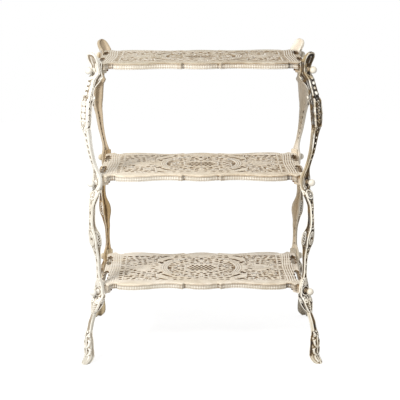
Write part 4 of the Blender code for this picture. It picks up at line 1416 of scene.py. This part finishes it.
# points, half width and height of each scroll and each stem between them
SCROLLS = (
    (scroll_run((208, 72), 200, 1.5, 27, 3, 1), 2.6, 1.3),
    (scroll_run((162, 86), -30, 1.4, 24, 3, -1), 2.5, 1.3),
    (scroll_run((229, 24), 90, 1.2, 16, 3, 1), 2.0, 1.1),
    (scroll_run((146, 30), 0, 1.2, 15, 3, 1), 2.0, 1.1),
    (scroll_run((184, 128), 180, 1.2, 18, 3, -1), 2.2, 1.2),
    (scroll_run((142, 122), 0, 1.2, 15, 3, 1), 2.0, 1.1),
    (scroll_run((77, 76), 0, 1.4, 20, 3, 1), 2.3, 1.2),
    (scroll_run((82, 18), 180, 1.3, 14, 3, -1), 2.0, 1.1),
    (scroll_run((38, 98), 180, 1.3, 17, 3, -1), 2.0, 1.1),
    (((0, 68), (12, 60), (28, 52), (40, 42), (49, 28), (52, 12), (52, 0)), 2.2, 1.1),
    (((203, 2), (214, 10), (232, 36), (240, 60)), 1.9, 1.0),
    (((252, 150), (200, 151), (150, 151.5), (118, 148)), 2.2, 0.9),
    (((118, 148), (84, 149), (56, 151), (28, 146), (0, 140)), 2.2, 0.9),
)
print("scrolls and stems in a quarter:", len(SCROLLS))

# %% [markdown]
# The ornament is laid on with the same ridges and beads as on the posts. What stands too proud is
# pressed down, the fields inside the oval band and beside it are sunk, the rim gets its moulding
# and each hole a round shoulder. Sculpting could give livelier scrolls, but a height that is
# worked out at any point can be asked for beside it too, and that is how the dirt is found below.

# %% The height of a plate's face
EYE_RADIUS = 4.6
EYE_HEIGHT = 2.0
FIELD_SINK = 1.15
FIELD_SLOPE = 3.0
# ornament above this height is pressed down, so that nothing stands higher than the rim
RELIEF_TOP = 0.55
RELIEF_PRESS = 0.35
# distance in from the outline, and height of the moulding that follows it
MOULDING = (
    (0, -1.5), (1.4, -0.5), (3.2, 0), (5.0, -0.2), (6.6, -1.3), (9, 0), (13, 0), (15, -0.8), (17, 0),
)
# how wide the round shoulder at a hole is, and how far it drops
SHOULDER = 3.4
SHOULDER_DROP = 1.5


def lay_ornament(relief, x, y):
    """Raise the scrolls, their eyes, the oval band, the long leaf and the end lines."""
    for points, half_width, height in SCROLLS:
        ridge(relief, x, y, points, half_width, height)
    for eye in EYES + INNER_EYES:
        bead(relief, x, y, eye, EYE_RADIUS, EYE_HEIGHT)
    for offset, half_width, height in OVAL_RIBS:
        grow_x, grow_y = (1 + offset / half for half in OVAL_HALF)
        band = [(px * grow_x, py * grow_y) for px, py in OVAL_BAND]
        ridge(relief, x, y, band, half_width, height)
    ridge(relief, x, y, LONG_LEAF, 2.4, 1.5)
    ridge(relief, x, y, LEAF_RIB, 1.8, 1.9)
    for start in LEAF_VEINS:
        vein = ((start, 1.5), (start + VEIN_RUN[0], VEIN_RUN[1]))
        groove(relief, x, y, vein, 1.7, 0.9)
    end = END_EDGE[0][1]
    places = np.linspace(0, END_LINE_LENGTH, 28)
    for line in END_LINES:
        bulge = END_LINE_BULGE * np.cos(places / END_LINE_LENGTH * math.pi)
        ridge(relief, x, y, list(zip(end - line - bulge, places)), 2.2, 0.8)


def plate_relief(x, y, holes, inset):
    """Height of the plate's face over its plane, in millimetres."""
    relief = np.zeros(x.shape)
    x, y = np.abs(x), np.abs(y)
    lay_ornament(relief, x, y)
    oval = inside_edge(x, y, OVAL_FIELD)
    side = distance_to_line(x, y, SIDE_FIELD) * np.where(inside_ring(x, y, SIDE_FIELD), 1.0, -1.0)
    sink = step_between(0.0, FIELD_SLOPE, np.maximum(oval, side))
    pressed = RELIEF_TOP + RELIEF_PRESS * (relief - RELIEF_TOP)
    relief = np.minimum(relief, pressed) - FIELD_SINK * sink
    relief += np.interp(inset, *zip(*MOULDING))
    shoulder = np.clip(1.0 - holes / SHOULDER, 0.0, 1.0)
    return relief - SHOULDER_DROP * shoulder**2


# %% [markdown]
# ### From field to plate
#
# A fine sheet of quads is cut away where the field says hole. That leaves stairs, so the quads'
# corners along each cut are slid onto the exact edge: the field says how far to go, and its slope
# says which way. Then the sheet is given its thickness, its relief and its dirt, its flat
# underside is cleared of the quads that it doesn't need, and the quarter is mirrored twice.

# %% Cut a sheet along the field
GRID_STEP = 1.75
# a whole number of steps, and a little more than the shelf
QUARTER_SIZE = (174 * GRID_STEP, 115 * GRID_STEP)
ON_AXIS = 1e-6
# each pull takes a corner most of the way down the slope, which is probed close beside it
PULLS = 5
PULL = 0.7
PROBE = 0.05
LEAST_STEEP = 0.25
LONGEST_SLIDE = 0.75 * GRID_STEP


def no_pinched_corners(solid):
    """Fill one of two gaps that touch only at a corner."""
    for _ in range(4):
        a, b = solid[:-1, :-1], solid[:-1, 1:]
        c, d = solid[1:, :-1], solid[1:, 1:]
        falling = a & d & ~b & ~c
        rising = b & c & ~a & ~d
        solid[:-1, 1:] |= falling
        solid[:-1, :-1] |= rising
    return solid


def cut_sheet():
    """A sheet the size of a quarter, without the quads that lie in a hole or outside."""
    width, depth = QUARTER_SIZE
    columns, rows = round(width / GRID_STEP), round(depth / GRID_STEP)
    shape = bmesh.new()
    bmesh.ops.create_grid(shape, x_segments=columns, y_segments=rows, size=0.5)
    for vert in shape.verts:
        vert.co = ((vert.co.x + 0.5) * width, (vert.co.y + 0.5) * depth, 0.0)
    middles = [(np.arange(count) + 0.5) * GRID_STEP for count in (columns, rows)]
    solid = no_pinched_corners(solid_field(*np.meshgrid(*middles))[0] > 0.0)
    gone = []
    for face in shape.faces:
        middle = face.calc_center_median()
        if not solid[int(middle.y / GRID_STEP), int(middle.x / GRID_STEP)]:
            gone.append(face)
    bmesh.ops.delete(shape, geom=gone, context="FACES")
    return shape


def slide_to_cut(shape):
    """Move the corners along each cut onto the edge that the field gives."""
    rim = [vert for vert in shape.verts if vert.is_boundary]
    start_x, start_y = (np.array([vert.co[axis] for vert in rim]) for axis in (0, 1))
    x, y = start_x, start_y
    for _ in range(PULLS):
        value = solid_field(x, y)[0]
        slope_x = (solid_field(x + PROBE, y)[0] - value) / PROBE
        slope_y = (solid_field(x, y + PROBE)[0] - value) / PROBE
        steep = np.maximum(slope_x**2 + slope_y**2, LEAST_STEEP)
        x = x - PULL * value * slope_x / steep
        y = y - PULL * value * slope_y / steep
        reach = np.maximum(np.hypot(x - start_x, y - start_y) / LONGEST_SLIDE, 1.0)
        x = np.where(start_x < ON_AXIS, 0.0, start_x + (x - start_x) / reach)
        y = np.where(start_y < ON_AXIS, 0.0, start_y + (y - start_y) / reach)
    cut = np.abs(solid_field(x, y)[0]) < GRID_STEP
    for vert, new_x, new_y, moves in zip(rim, x, y, cut):
        if moves:
            vert.co.x, vert.co.y = new_x, new_y
    relax = [vert for vert in shape.verts if not vert.is_boundary]
    bmesh.ops.smooth_vert(shape, verts=relax, factor=0.5, use_axis_x=True, use_axis_y=True)


# %% [markdown]
# The sheet has its holes now, but it is still flat. Its face is lifted to the relief, and dirt is
# found as on the posts: what lies below its surroundings is dirty, and what stands above them is
# rubbed pale, which is also a painted highlight. The walls of the small holes are darkest, with dirt
# because no cloth goes in there, and with painted shade. A displace modifier could lift the face as
# well, but it leaves no record of what is a hollow.

# %% Lay relief and dirt on the sheet
PLATE_THICKNESS = 5.0
PLATE_BLUR = 3.0
# grime of a flat place, and how far below its surroundings a place is wholly dirty
FACE_GRIME = 0.08
FACE_HOLLOW = 1.1
# dirt and painted shade on the walls of the holes, and how far they creep over their rim
RIM_SHADE_AND_SOIL = 1.2
RIM_REACH = 1.5
# how far above its surroundings a place is rubbed pale, which also paints a highlight there
RUBBED_STAND = 0.38
# grime of the underside, and the dirt and painted shade of the holes' lower edges, which are lighter in
# the end openings
UNDER_GRIME = 0.45
END_SHADE_AND_SOIL = 0.5
END_SOIL_FROM = END_OPENING[0] - 2 * END_OPENING[3]
HOLE_REACH = 1.0


def lay_face(tops, layers):
    """Raise the relief of the face, lay grime in its hollows, dirt and painted shade at its holes, and
    rub with a painted highlight on its edges.
    """
    x, y = (np.array([vert.co[axis] for vert in tops]) for axis in (0, 1))
    _, holes = solid_field(x, y)
    inset = inside_edge(x, y, EDGE)
    relief = plate_relief(x, y, holes, inset)
    around = sum(
        plate_relief(x + PLATE_BLUR * dx, y + PLATE_BLUR * dy, holes, inset)
        for dx, dy in ((1, 0), (-1, 0), (0, 1), (0, -1))
    ) / 4
    stand = relief - around
    rim = np.clip(1.0 - holes / RIM_REACH, 0.0, 1.0)
    grime = np.clip(FACE_GRIME - stand / FACE_HOLLOW, 0.0, 1.0) + RIM_SHADE_AND_SOIL * rim
    rub_and_highlight = np.clip(stand / RUBBED_STAND, 0.0, 1.0)
    for vert, height, dark, worn in zip(tops, relief, grime, rub_and_highlight):
        vert.co.z = height
        vert[layers[0]] = dark
        vert[layers[1]] = worn


def lay_underside(lower, layers):
    """Drop the underside to its depth, and darken it where it meets a hole, with dirt and painted shade.
    """
    x, y = (np.array([vert.co[axis] for vert in lower]) for axis in (0, 1))
    for vert, gap in zip(lower, solid_field(x, y)[1]):
        vert.co.z = -PLATE_THICKNESS
        at_hole = END_SHADE_AND_SOIL if abs(vert.co.x) > END_SOIL_FROM else PIT_SHADE_AND_SOIL
        vert[layers[0]] = at_hole if gap < HOLE_REACH else UNDER_GRIME


# %% [markdown]
# The pattern is the same in all four quarters, so one of them makes the plate. It is extruded to
# its thickness, and the walls which that leaves along the two middle lines are taken off, so that
# the mirrored quarters weld into one skin. A mirror modifier would do the same, but here the open
# edges can be counted as soon as it is done.

# %% The whole plate
PLATE_WELD = 0.001
PLATE_SHARP = 50


def is_low(item):
    """Whether a vertex or every vertex of an edge lies on the flat underside."""
    verts = [item] if isinstance(item, bmesh.types.BMVert) else item.verts
    return all(vert.co.z == -PLATE_THICKNESS for vert in verts)


def clear_underside(shape):
    """Merge the quads of the flat underside, in the same order at each run."""
    bmesh.ops.dissolve_limit(
        shape, angle_limit=math.radians(1), use_dissolve_boundaries=False, delimit={"NORMAL"},
        verts=[vert for vert in shape.verts if is_low(vert)],
        edges=[edge for edge in shape.edges if is_low(edge)],
    )


def plate_mesh():
    """One quarter with its relief, mirrored along X and along Y."""
    shape = cut_sheet()
    slide_to_cut(shape)
    layers = paint_layers(shape)
    tops = list(shape.verts)
    made = bmesh.ops.extrude_face_region(shape, geom=list(shape.faces))["geom"]
    lay_face(tops, layers)
    lay_underside([item for item in made if isinstance(item, bmesh.types.BMVert)], layers)
    shape.normal_update()
    seams = [
        face for face in shape.faces
        if any(all(abs(vert.co[axis]) < ON_AXIS for vert in face.verts) for axis in (0, 1))
    ]
    bmesh.ops.delete(shape, geom=seams, context="FACES")
    clear_underside(shape)
    for axis in ("X", "Y"):
        geometry = list(shape.verts) + list(shape.edges) + list(shape.faces)
        bmesh.ops.mirror(shape, geom=geometry, axis=axis, merge_dist=0.0)
        bmesh.ops.remove_doubles(shape, verts=shape.verts, dist=PLATE_WELD)
    bmesh.ops.scale(shape, vec=(MM, MM, MM), verts=shape.verts)
    bmesh.ops.recalc_face_normals(shape, faces=shape.faces)
    print("open edges of the plate:", sum(not edge.is_manifold for edge in shape.edges))
    return finished_mesh(shape, "pierced_plate", PLATE_SHARP)


plate = plate_mesh()
print("faces of the plate:", len(plate.polygons))

# %% [markdown]
# ## Aprons
#
# The apron hangs from the plate's edge. It is a strip with a bead at its foot, a groove, a band of
# upright flutes five millimetres apart, and a small moulding at the top. An array of single
# flutes would open up at every bend, so the section is carried round the outline instead, and
# the flutes are pressed into it on the way. Dirt gathers in the flutes, and the sharp inner
# corners of the outline are darkened with dirt and painted shade.

# %% Section of the apron, and the run it is carried along
APRON_STEP = 0.85
APRON_SHARP = 40
FLUTE_PITCH = 5.0
FLUTE_DEPTH = 0.78
# under 1, which makes the flutes wider than the ribs between them
FLUTE_POWER = 0.7
FLUTE_GRIME = 0.34
# how soon an inward bend of the outline counts as a corner, and the dirt and painted shade that darken
# it
CORNER_BEND = 3.0
CORNER_SHADE_AND_GRIME = 1.8
# distance in from the outline, height, share of the flute's depth, grime
APRON_SECTION = (
    (0.5, -4.9, 0, 0.3), (0.0, -5.4, 0, 0.0), (0.2, -6.5, 0, 0.0), (1.5, -7.1, 0, 1.0),
    (0.5, -7.9, 0.6, 0.3), (0.35, -9.0, 1, 0.1), (0.35, -12.0, 1, 0.1), (0.35, -14.4, 1, 0.1),
    (0.6, -15.2, 0.6, 0.4), (1.5, -15.8, 0, 1.0), (0.4, -16.4, 0, 0.1), (0.0, -17.5, 0, 0.0),
    (0.5, -18.5, 0, 0.1), (1.6, -19.0, 0, 0.4), (3.4, -18.7, 0, 0.6), (3.9, -17.6, 0, 0.6),
    (3.9, -11.0, 0, 0.55), (3.9, -4.9, 0, 0.6),
)
# what lies nearer to the outline than this is rubbed by passing clothes, and its pale is also a painted
# highlight
RUBBED_SECTION = 0.5


def whole_edge():
    """The outline of all four quarters, counter-clockwise seen from above."""
    rear_left = [(-px, py) for px, py in EDGE[1:]]
    front_left = [(px, -py) for px, py in rear_left[::-1][1:]]
    front_right = [(px, -py) for px, py in EDGE[:-1]]
    return np.array(EDGE[::-1] + rear_left + front_left + front_right)


def evenly_spaced(points, step):
    """The same closed run with points at equal distances, and how far along it each lies."""
    closed = np.vstack((points, points[:1]))
    lengths = np.hypot(*np.diff(closed, axis=0).T)
    closed = closed[np.append(lengths > 1e-9, True)]
    travel = np.append(0.0, np.cumsum(np.hypot(*np.diff(closed, axis=0).T)))
    count = round(travel[-1] / step)
    places = np.arange(count) * travel[-1] / count
    run = np.column_stack([np.interp(places, travel, closed[:, axis]) for axis in (0, 1)])
    return run, places


print("steps round a shelf:", len(evenly_spaced(whole_edge(), APRON_STEP)[0]))

# %% [markdown]
# At every step the section stands square to the outline, and the flutes are counted off by the
# way along it, so they keep their width round the bends. A curve with this section as its bevel
# could be used too, but it could not be fluted on its way.

# %% Fluted apron
def apron_mesh():
    """The apron's section carried round the outline, square to it at every step."""
    run, travel = evenly_spaced(whole_edge(), APRON_STEP)
    ahead = np.roll(run, -1, 0) - run
    behind = run - np.roll(run, 1, 0)
    along = ahead / np.hypot(*ahead.T)[:, None] + behind / np.hypot(*behind.T)[:, None]
    along /= np.hypot(*along.T)[:, None]
    inward = np.column_stack((-along[:, 1], along[:, 0]))
    turn = (behind[:, 0] * ahead[:, 1] - behind[:, 1] * ahead[:, 0]) / APRON_STEP**2
    hollow = np.clip(-turn * CORNER_BEND, 0.0, 1.0)
    hollow = np.maximum.reduce([np.roll(hollow, shift) for shift in (-2, -1, 0, 1, 2)])[:, None]
    flute = (0.5 - 0.5 * np.cos(2 * math.pi * travel / FLUTE_PITCH))[:, None]
    inset, height, fluted, soil = np.array(APRON_SECTION).T[:, None, :]
    sunk = inset + FLUTE_DEPTH * flute**FLUTE_POWER * fluted
    x = run[:, :1] + inward[:, :1] * sunk
    y = run[:, 1:] + inward[:, 1:] * sunk
    places = np.dstack((x, y, np.broadcast_to(height, x.shape)))
    grime = np.maximum(soil + FLUTE_GRIME * flute * fluted, CORNER_SHADE_AND_GRIME * hollow)
    rub_and_highlight = np.clip((1 - flute) * (inset < RUBBED_SECTION), 0.0, 1.0)
    closing = np.append(np.arange(len(run)), 0)
    values = (grime[closing], rub_and_highlight[closing])
    return closed_skin(places[closing] * MM, values, "fluted_apron", APRON_SHARP)


apron = apron_mesh()
print("apron faces:", len(apron.polygons))

# %% [markdown]
# A shelf is one casting, so its plate and its apron replace the same node. They are two pieces
# here because the plate came from a flat sheet and the apron from a rolled one. The apron's top
# reaches up into the plate, so no gap shows between them.

# %% Hang the shelves
for level, height in SHELF_TOPS.items():
    lift = Matrix.Translation(Vector((0.0, 0.0, height)))
    node_name = f"shelf_{level}"
    place_piece(plate, f"openwork_{level}", lift, paints[node_name], "shelf_paint", node_name)
    place_piece(apron, f"apron_{level}", lift, paints["apron"], "shelf_paint", node_name)
print("shelves hung at:", [round(height, 3) for height in SHELF_TOPS.values()])

# %% [markdown]
# ## Lugs, ball bolts and nuts
#
# Under each shelf corner hangs a drilled lug, cast with the shelf. It is a block with drawn in
# sides and softened edges, as a casting needs to leave its mould. The bevel operator softens all
# twelve edges at once. The bore is hidden behind the post and filled by the bolt, so it isn't cut.

# %% Corner lugs, in millimetres from the shelf's top at the cut corner
LUG_REACH = 9.5
LUG_TAIL = 19.5
LUG_WIDTH = 17.0
LUG_TOP = -4.6
LUG_DROP = 30.0
LUG_ROUND = 2.2
LUG_DRAFT = 0.9
LUG_SHARP = 40
LUG_GRIME = 0.15
# what has gathered in the corner under the plate
LUG_TOP_GRIME = 0.35
LUG_TOP_BAND = -8.0


def lug_mesh():
    """A cube stretched to the lug's size, drawn in at its foot and rounded."""
    shape = bmesh.new()
    grime, _ = paint_layers(shape)
    bmesh.ops.create_cube(shape, size=1.0)
    size = (LUG_REACH + LUG_TAIL, LUG_WIDTH, LUG_TOP + LUG_DROP)
    bmesh.ops.scale(shape, vec=size, verts=shape.verts)
    for vert in shape.verts:
        if vert.co.z < 0:
            vert.co.y *= LUG_DRAFT
    middle = ((LUG_REACH - LUG_TAIL) / 2, 0.0, (LUG_TOP - LUG_DROP) / 2)
    bmesh.ops.translate(shape, vec=middle, verts=shape.verts)
    bmesh.ops.bevel(
        shape, geom=list(shape.edges), offset=LUG_ROUND, offset_type="OFFSET", segments=4,
        profile=0.5, affect="EDGES", material=-1,
    )
    for vert in shape.verts:
        vert[grime] = LUG_TOP_GRIME if vert.co.z > LUG_TOP_BAND else LUG_GRIME
    bmesh.ops.scale(shape, vec=(MM, MM, MM), verts=shape.verts)
    return finished_mesh(shape, "corner_lug", LUG_SHARP)


lug = lug_mesh()
print("lug faces:", len(lug.polygons))

# %% [markdown]
# The bolt goes in from outside: a turned ball on a slim neck with a small collar, then a shank
# with a few turns of thread that show past the nut. It was turned on a lathe, and the spin
# operator is a lathe: it takes a profile once round the axis. The turns of the thread are rings
# here, because at their size a real helix can't be told from rings.

# %% Ball bolts, along the diagonal from the middle of the shelf's cut corner
SEAT_FACE = 23.5
BALL_MIDDLE = 43.0
BALL_RADIUS = 10.5
BALL_STEPS = 16
NECK_WAIST = 4.9
SHANK_END = -29.3
SHANK_RADIUS = 4.0
THREAD_START = -28.8
THREAD_ROOT = 3.4
THREAD_PITCH = 1.25
THREAD_TURNS = 8
BOLT_STEPS = 40
BOLT_SHARP = 45
BALL_RUB = 0.6
# distance out from the seat, radius and grime
COLLAR = (
    (0.3, SHANK_RADIUS, 0.6), (0.3, 7.0, 0.9), (0.8, 7.4, 0.5), (1.7, 7.3, 0.3), (2.4, 6.6, 0.6),
    (2.9, 5.4, 1.0), (4.6, NECK_WAIST, 0.5), (7.4, NECK_WAIST, 0.4), (9.4, NECK_WAIST + 0.4, 1.0),
)


def bolt_profile():
    """Distance out along the axis, radius and grime, from the end of the shank to the ball."""
    points = [(SHANK_END, 0.0, 0.6), (SHANK_END, 3.0, 0.6)]
    for turn in range(THREAD_TURNS):
        start = THREAD_START + turn * THREAD_PITCH
        points += [(start, THREAD_ROOT, 1.0), (start + THREAD_PITCH / 2, SHANK_RADIUS, 0.5)]
    points += [(SEAT_FACE + out, radius, grime) for out, radius, grime in COLLAR]
    first = math.asin((NECK_WAIST + 0.5) / BALL_RADIUS)
    for step in range(BALL_STEPS + 1):
        share = step / BALL_STEPS
        angle = first + (math.pi - first) * share
        radius = max(BALL_RADIUS * math.sin(angle), 0.0)
        # dirt sits where the ball meets its neck
        grime = max(0.9 - 3.0 * share, 0.0)
        points.append((BALL_MIDDLE - BALL_RADIUS * math.cos(angle), radius, grime))
    return points


def bolt_mesh():
    """The bolt's profile spun once round its axis."""
    shape = bmesh.new()
    layers = paint_layers(shape)
    profile = []
    for reach, radius, grime in bolt_profile():
        vert = shape.verts.new((reach * MM, 0.0, radius * MM))
        vert[layers[0]] = grime
        vert[layers[1]] = BALL_RUB * (reach > BALL_MIDDLE)
        profile.append(vert)
    edges = [shape.edges.new(pair) for pair in zip(profile, profile[1:])]
    bmesh.ops.spin(
        shape, geom=profile + edges, cent=(0, 0, 0), axis=(1, 0, 0), angle=2 * math.pi,
        steps=BOLT_STEPS, use_merge=True,
    )
    bmesh.ops.remove_doubles(shape, verts=shape.verts, dist=SEAM)
    bmesh.ops.recalc_face_normals(shape, faces=shape.faces)
    return finished_mesh(shape, "ball_bolt", BOLT_SHARP)


bolt = bolt_mesh()
print("bolt faces:", len(bolt.polygons))

# %% [markdown]
# The nut is square, as nuts of that age are, with its corners knocked off and a small chamfer at
# both ends of its bore. It is a ring too, but a square one, so it can't be spun. A sheet is
# rolled round its section instead, as for the castings.

# %% Square nuts
NUT_NEAR = -19.8
NUT_FAR = -26.3
NUT_HALF = 6.5
NUT_CORNER = NUT_HALF * 1.34
NUT_BORE = 4.15
NUT_STEPS = 64
NUT_SHARP = 35
NUT_GRIME = 0.5
# place along the bolt, then how much the outside or the bore is larger there
NUT_OUTSIDE = ((NUT_FAR, -0.8), (NUT_FAR + 0.7, 0), (NUT_NEAR - 0.7, 0), (NUT_NEAR, -0.8))
NUT_INSIDE = ((NUT_NEAR, 0.6), (NUT_NEAR - 0.6, 0), (NUT_FAR + 0.6, 0), (NUT_FAR, 0.6))


def nut_ring():
    """A square ring round the local X axis, rounded at its corners and chamfered at its bore."""
    angles = np.linspace(0.0, 2 * math.pi, NUT_STEPS + 1)[:, None]
    side = NUT_HALF / np.maximum(np.abs(np.cos(angles)), np.abs(np.sin(angles)))
    outer = np.minimum(side, NUT_CORNER)
    bore = np.full_like(outer, NUT_BORE)
    radius = np.hstack(
        [bore + grow for _, grow in NUT_INSIDE] + [outer + grow for _, grow in NUT_OUTSIDE]
    )
    reach = np.broadcast_to([place for place, _ in NUT_INSIDE + NUT_OUTSIDE], radius.shape)
    places = np.dstack((reach, radius * np.cos(angles), radius * np.sin(angles))) * MM
    dark = np.full(reach.shape, NUT_GRIME)
    return closed_skin(places, (dark, np.zeros_like(dark)), "square_nut", NUT_SHARP)


nut = nut_ring()
print("nut faces:", len(nut.polygons))

# %% [markdown]
# Each of the twelve corners gets a lug, a bolt and a nut. They could share one mesh, as linked
# duplicates do, but each piece keeps its place in its own mesh, which is what the frame expects.
# A lug belongs to its shelf's node, because it was cast with it.

# %% Set lugs, bolts and nuts in their places
for level, height in BOLTS.items():
    for corner in CORNERS:
        key = f"{level}_{corner}"
        at_bolt = corner_matrix(corner) @ Matrix.Translation(Vector((0.0, 0.0, height)))
        at_shelf = corner_matrix(corner) @ Matrix.Translation(Vector((0.0, 0.0, SHELF_TOPS[level])))
        shelf = f"shelf_{level}"
        place_piece(lug, f"lug_{key}", at_shelf, paints[shelf], "shelf_paint", shelf)
        paint = paints[f"bolt_{corner}"]
        place_piece(bolt, f"turned_{key}", at_bolt, paint, "bolt_paint", f"ball_bolt_{key}")
        place_piece(nut, f"nut_{key}", at_bolt, nut_iron, "nut_iron", f"square_nut_{key}")
print("corners bolted:", len(BOLTS) * len(CORNERS))

# %% [markdown]
# ## Floor, light and camera
#
# The stand is shown on a plain white ground. White paper alone would turn grey where the lamp
# doesn't reach, so to the camera the floor is mostly a glow, with just enough paper left to hold
# a soft shadow. The stand itself is lit by paper of a natural tone. Matt paper gives no image of
# the feet, as a glazed tile would.

# %% White ground
PAPER_GLOW = 0.86
PAPER = (0.58, 0.58, 0.58, 1.0)
PAPER_LEFT = (0.34, 0.34, 0.34, 1.0)
FLOOR_SIZE = 9.0
FLOOR_DROP = 0.5 * MM


def seen_directly(tree):
    """1 for what the camera sees itself or in a gloss, 0 for light that is on its way."""
    path = node(tree, "ShaderNodeLightPath")
    return node(tree, "ShaderNodeMath", LARGER, {0: path["Is Camera Ray"], 1: path["Is Glossy Ray"]})[0]


def white_ground():
    """White paper: to the camera mostly a glow, with just enough paper left to hold a shadow."""
    material, tree, _ = new_material("matt_white_paper")
    tree.nodes.clear()
    seen = seen_directly(tree)
    inputs = {MIX_SHARE: seen, MIX_UNDER: PAPER, MIX_OVER: PAPER_LEFT}
    tone = node(tree, "ShaderNodeMix", COLOURS, inputs)[MIXED]
    paper = node(tree, "ShaderNodeBsdfDiffuse", None, {"Color": tone})[0]
    glow = node(tree, "ShaderNodeMath", MULTIPLY, {0: seen, 1: PAPER_GLOW})[0]
    lit = node(tree, "ShaderNodeEmission", None, {"Strength": glow})[0]
    both = node(tree, "ShaderNodeAddShader", None, {0: paper, 1: lit})[0]
    node(tree, "ShaderNodeOutputMaterial", None, {"Surface": both})
    return material


bpy.ops.mesh.primitive_plane_add(size=FLOOR_SIZE, location=(0.0, 0.0, -FLOOR_DROP))
floor = bpy.context.object
floor.name = "floor"
floor.data.materials.append(white_ground())
print("floor:", FLOOR_SIZE, "m square")

# %% [markdown]
# The key light is a wide soft lamp to the left of the camera, so the faces that look left are
# bright and those that look right fall into shade. The white walls of the studio fill the shade.
# A second lamp could do that too, but it would throw a second shadow.

# %% Studio walls and key lamp
FILL_STRENGTH = 0.5
KEY_PLACE = (-1.5, -3.0, 2.8)
KEY_AIM = (0.0, 0.0, 0.45)
KEY_SIZE = 0.9
KEY_POWER = 148.0

world = bpy.data.worlds.new("studio")
bpy.context.scene.world = world
world.use_nodes = True
tree = world.node_tree
background = tree.nodes["Background"]
inputs = {"Value": seen_directly(tree), "To Min": FILL_STRENGTH, "To Max": 1.0}
strength = node(tree, "ShaderNodeMapRange", None, inputs)["Result"]
tree.links.new(strength, background.inputs["Strength"])
background.inputs["Color"].default_value = (1.0, 1.0, 1.0, 1.0)


def soft_lamp(name, place, aim, size, power):
    """A square lamp in metres and watts that is turned to where it aims."""
    data = bpy.data.lights.new(name, "AREA")
    data.size = size
    data.energy = power
    lamp = bpy.data.objects.new(name, data)
    lamp.location = place
    lamp.rotation_euler = (Vector(aim) - Vector(place)).to_track_quat("-Z", "Y").to_euler()
    bpy.context.scene.collection.objects.link(lamp)
    return lamp


key_lamp = soft_lamp("key_lamp", KEY_PLACE, KEY_AIM, KEY_SIZE, KEY_POWER)
print("key lamp:", key_lamp.data.energy, "W at", [round(value, 2) for value in key_lamp.location])

# %% [markdown]
# The camera stands where the picture was taken from. Its place was found by matching the corners
# of the shelves, the bolts and the feet to the picture: four metres back, a little above the
# stand and looking down, with a long lens.

# %% Camera at the photograph's angle
CAMERA_BACK = 4.0606
CAMERA_HEIGHT = 1.3025
CAMERA_SIDE = -0.004
CAMERA_PITCH = math.radians(11.945)
CAMERA_ROLL = math.radians(-0.2)
FOCAL_PIXELS = 1350.0
IMAGE_PIXELS = 400.0
SENSOR_WIDTH = 36.0

data = bpy.data.cameras.new("camera")
data.sensor_width = SENSOR_WIDTH
data.lens = FOCAL_PIXELS / IMAGE_PIXELS * SENSOR_WIDTH
camera = bpy.data.objects.new("camera", data)
camera.location = (CAMERA_SIDE, -CAMERA_BACK, CAMERA_HEIGHT)
turn = Matrix.Rotation(math.pi / 2 - CAMERA_PITCH, 4, "X") @ Matrix.Rotation(CAMERA_ROLL, 4, "Z")
camera.rotation_euler = turn.to_euler()
bpy.context.scene.collection.objects.link(camera)
bpy.context.scene.camera = camera
bpy.context.scene.view_settings.view_transform = "Standard"
print("lens:", round(data.lens, 1), "mm")
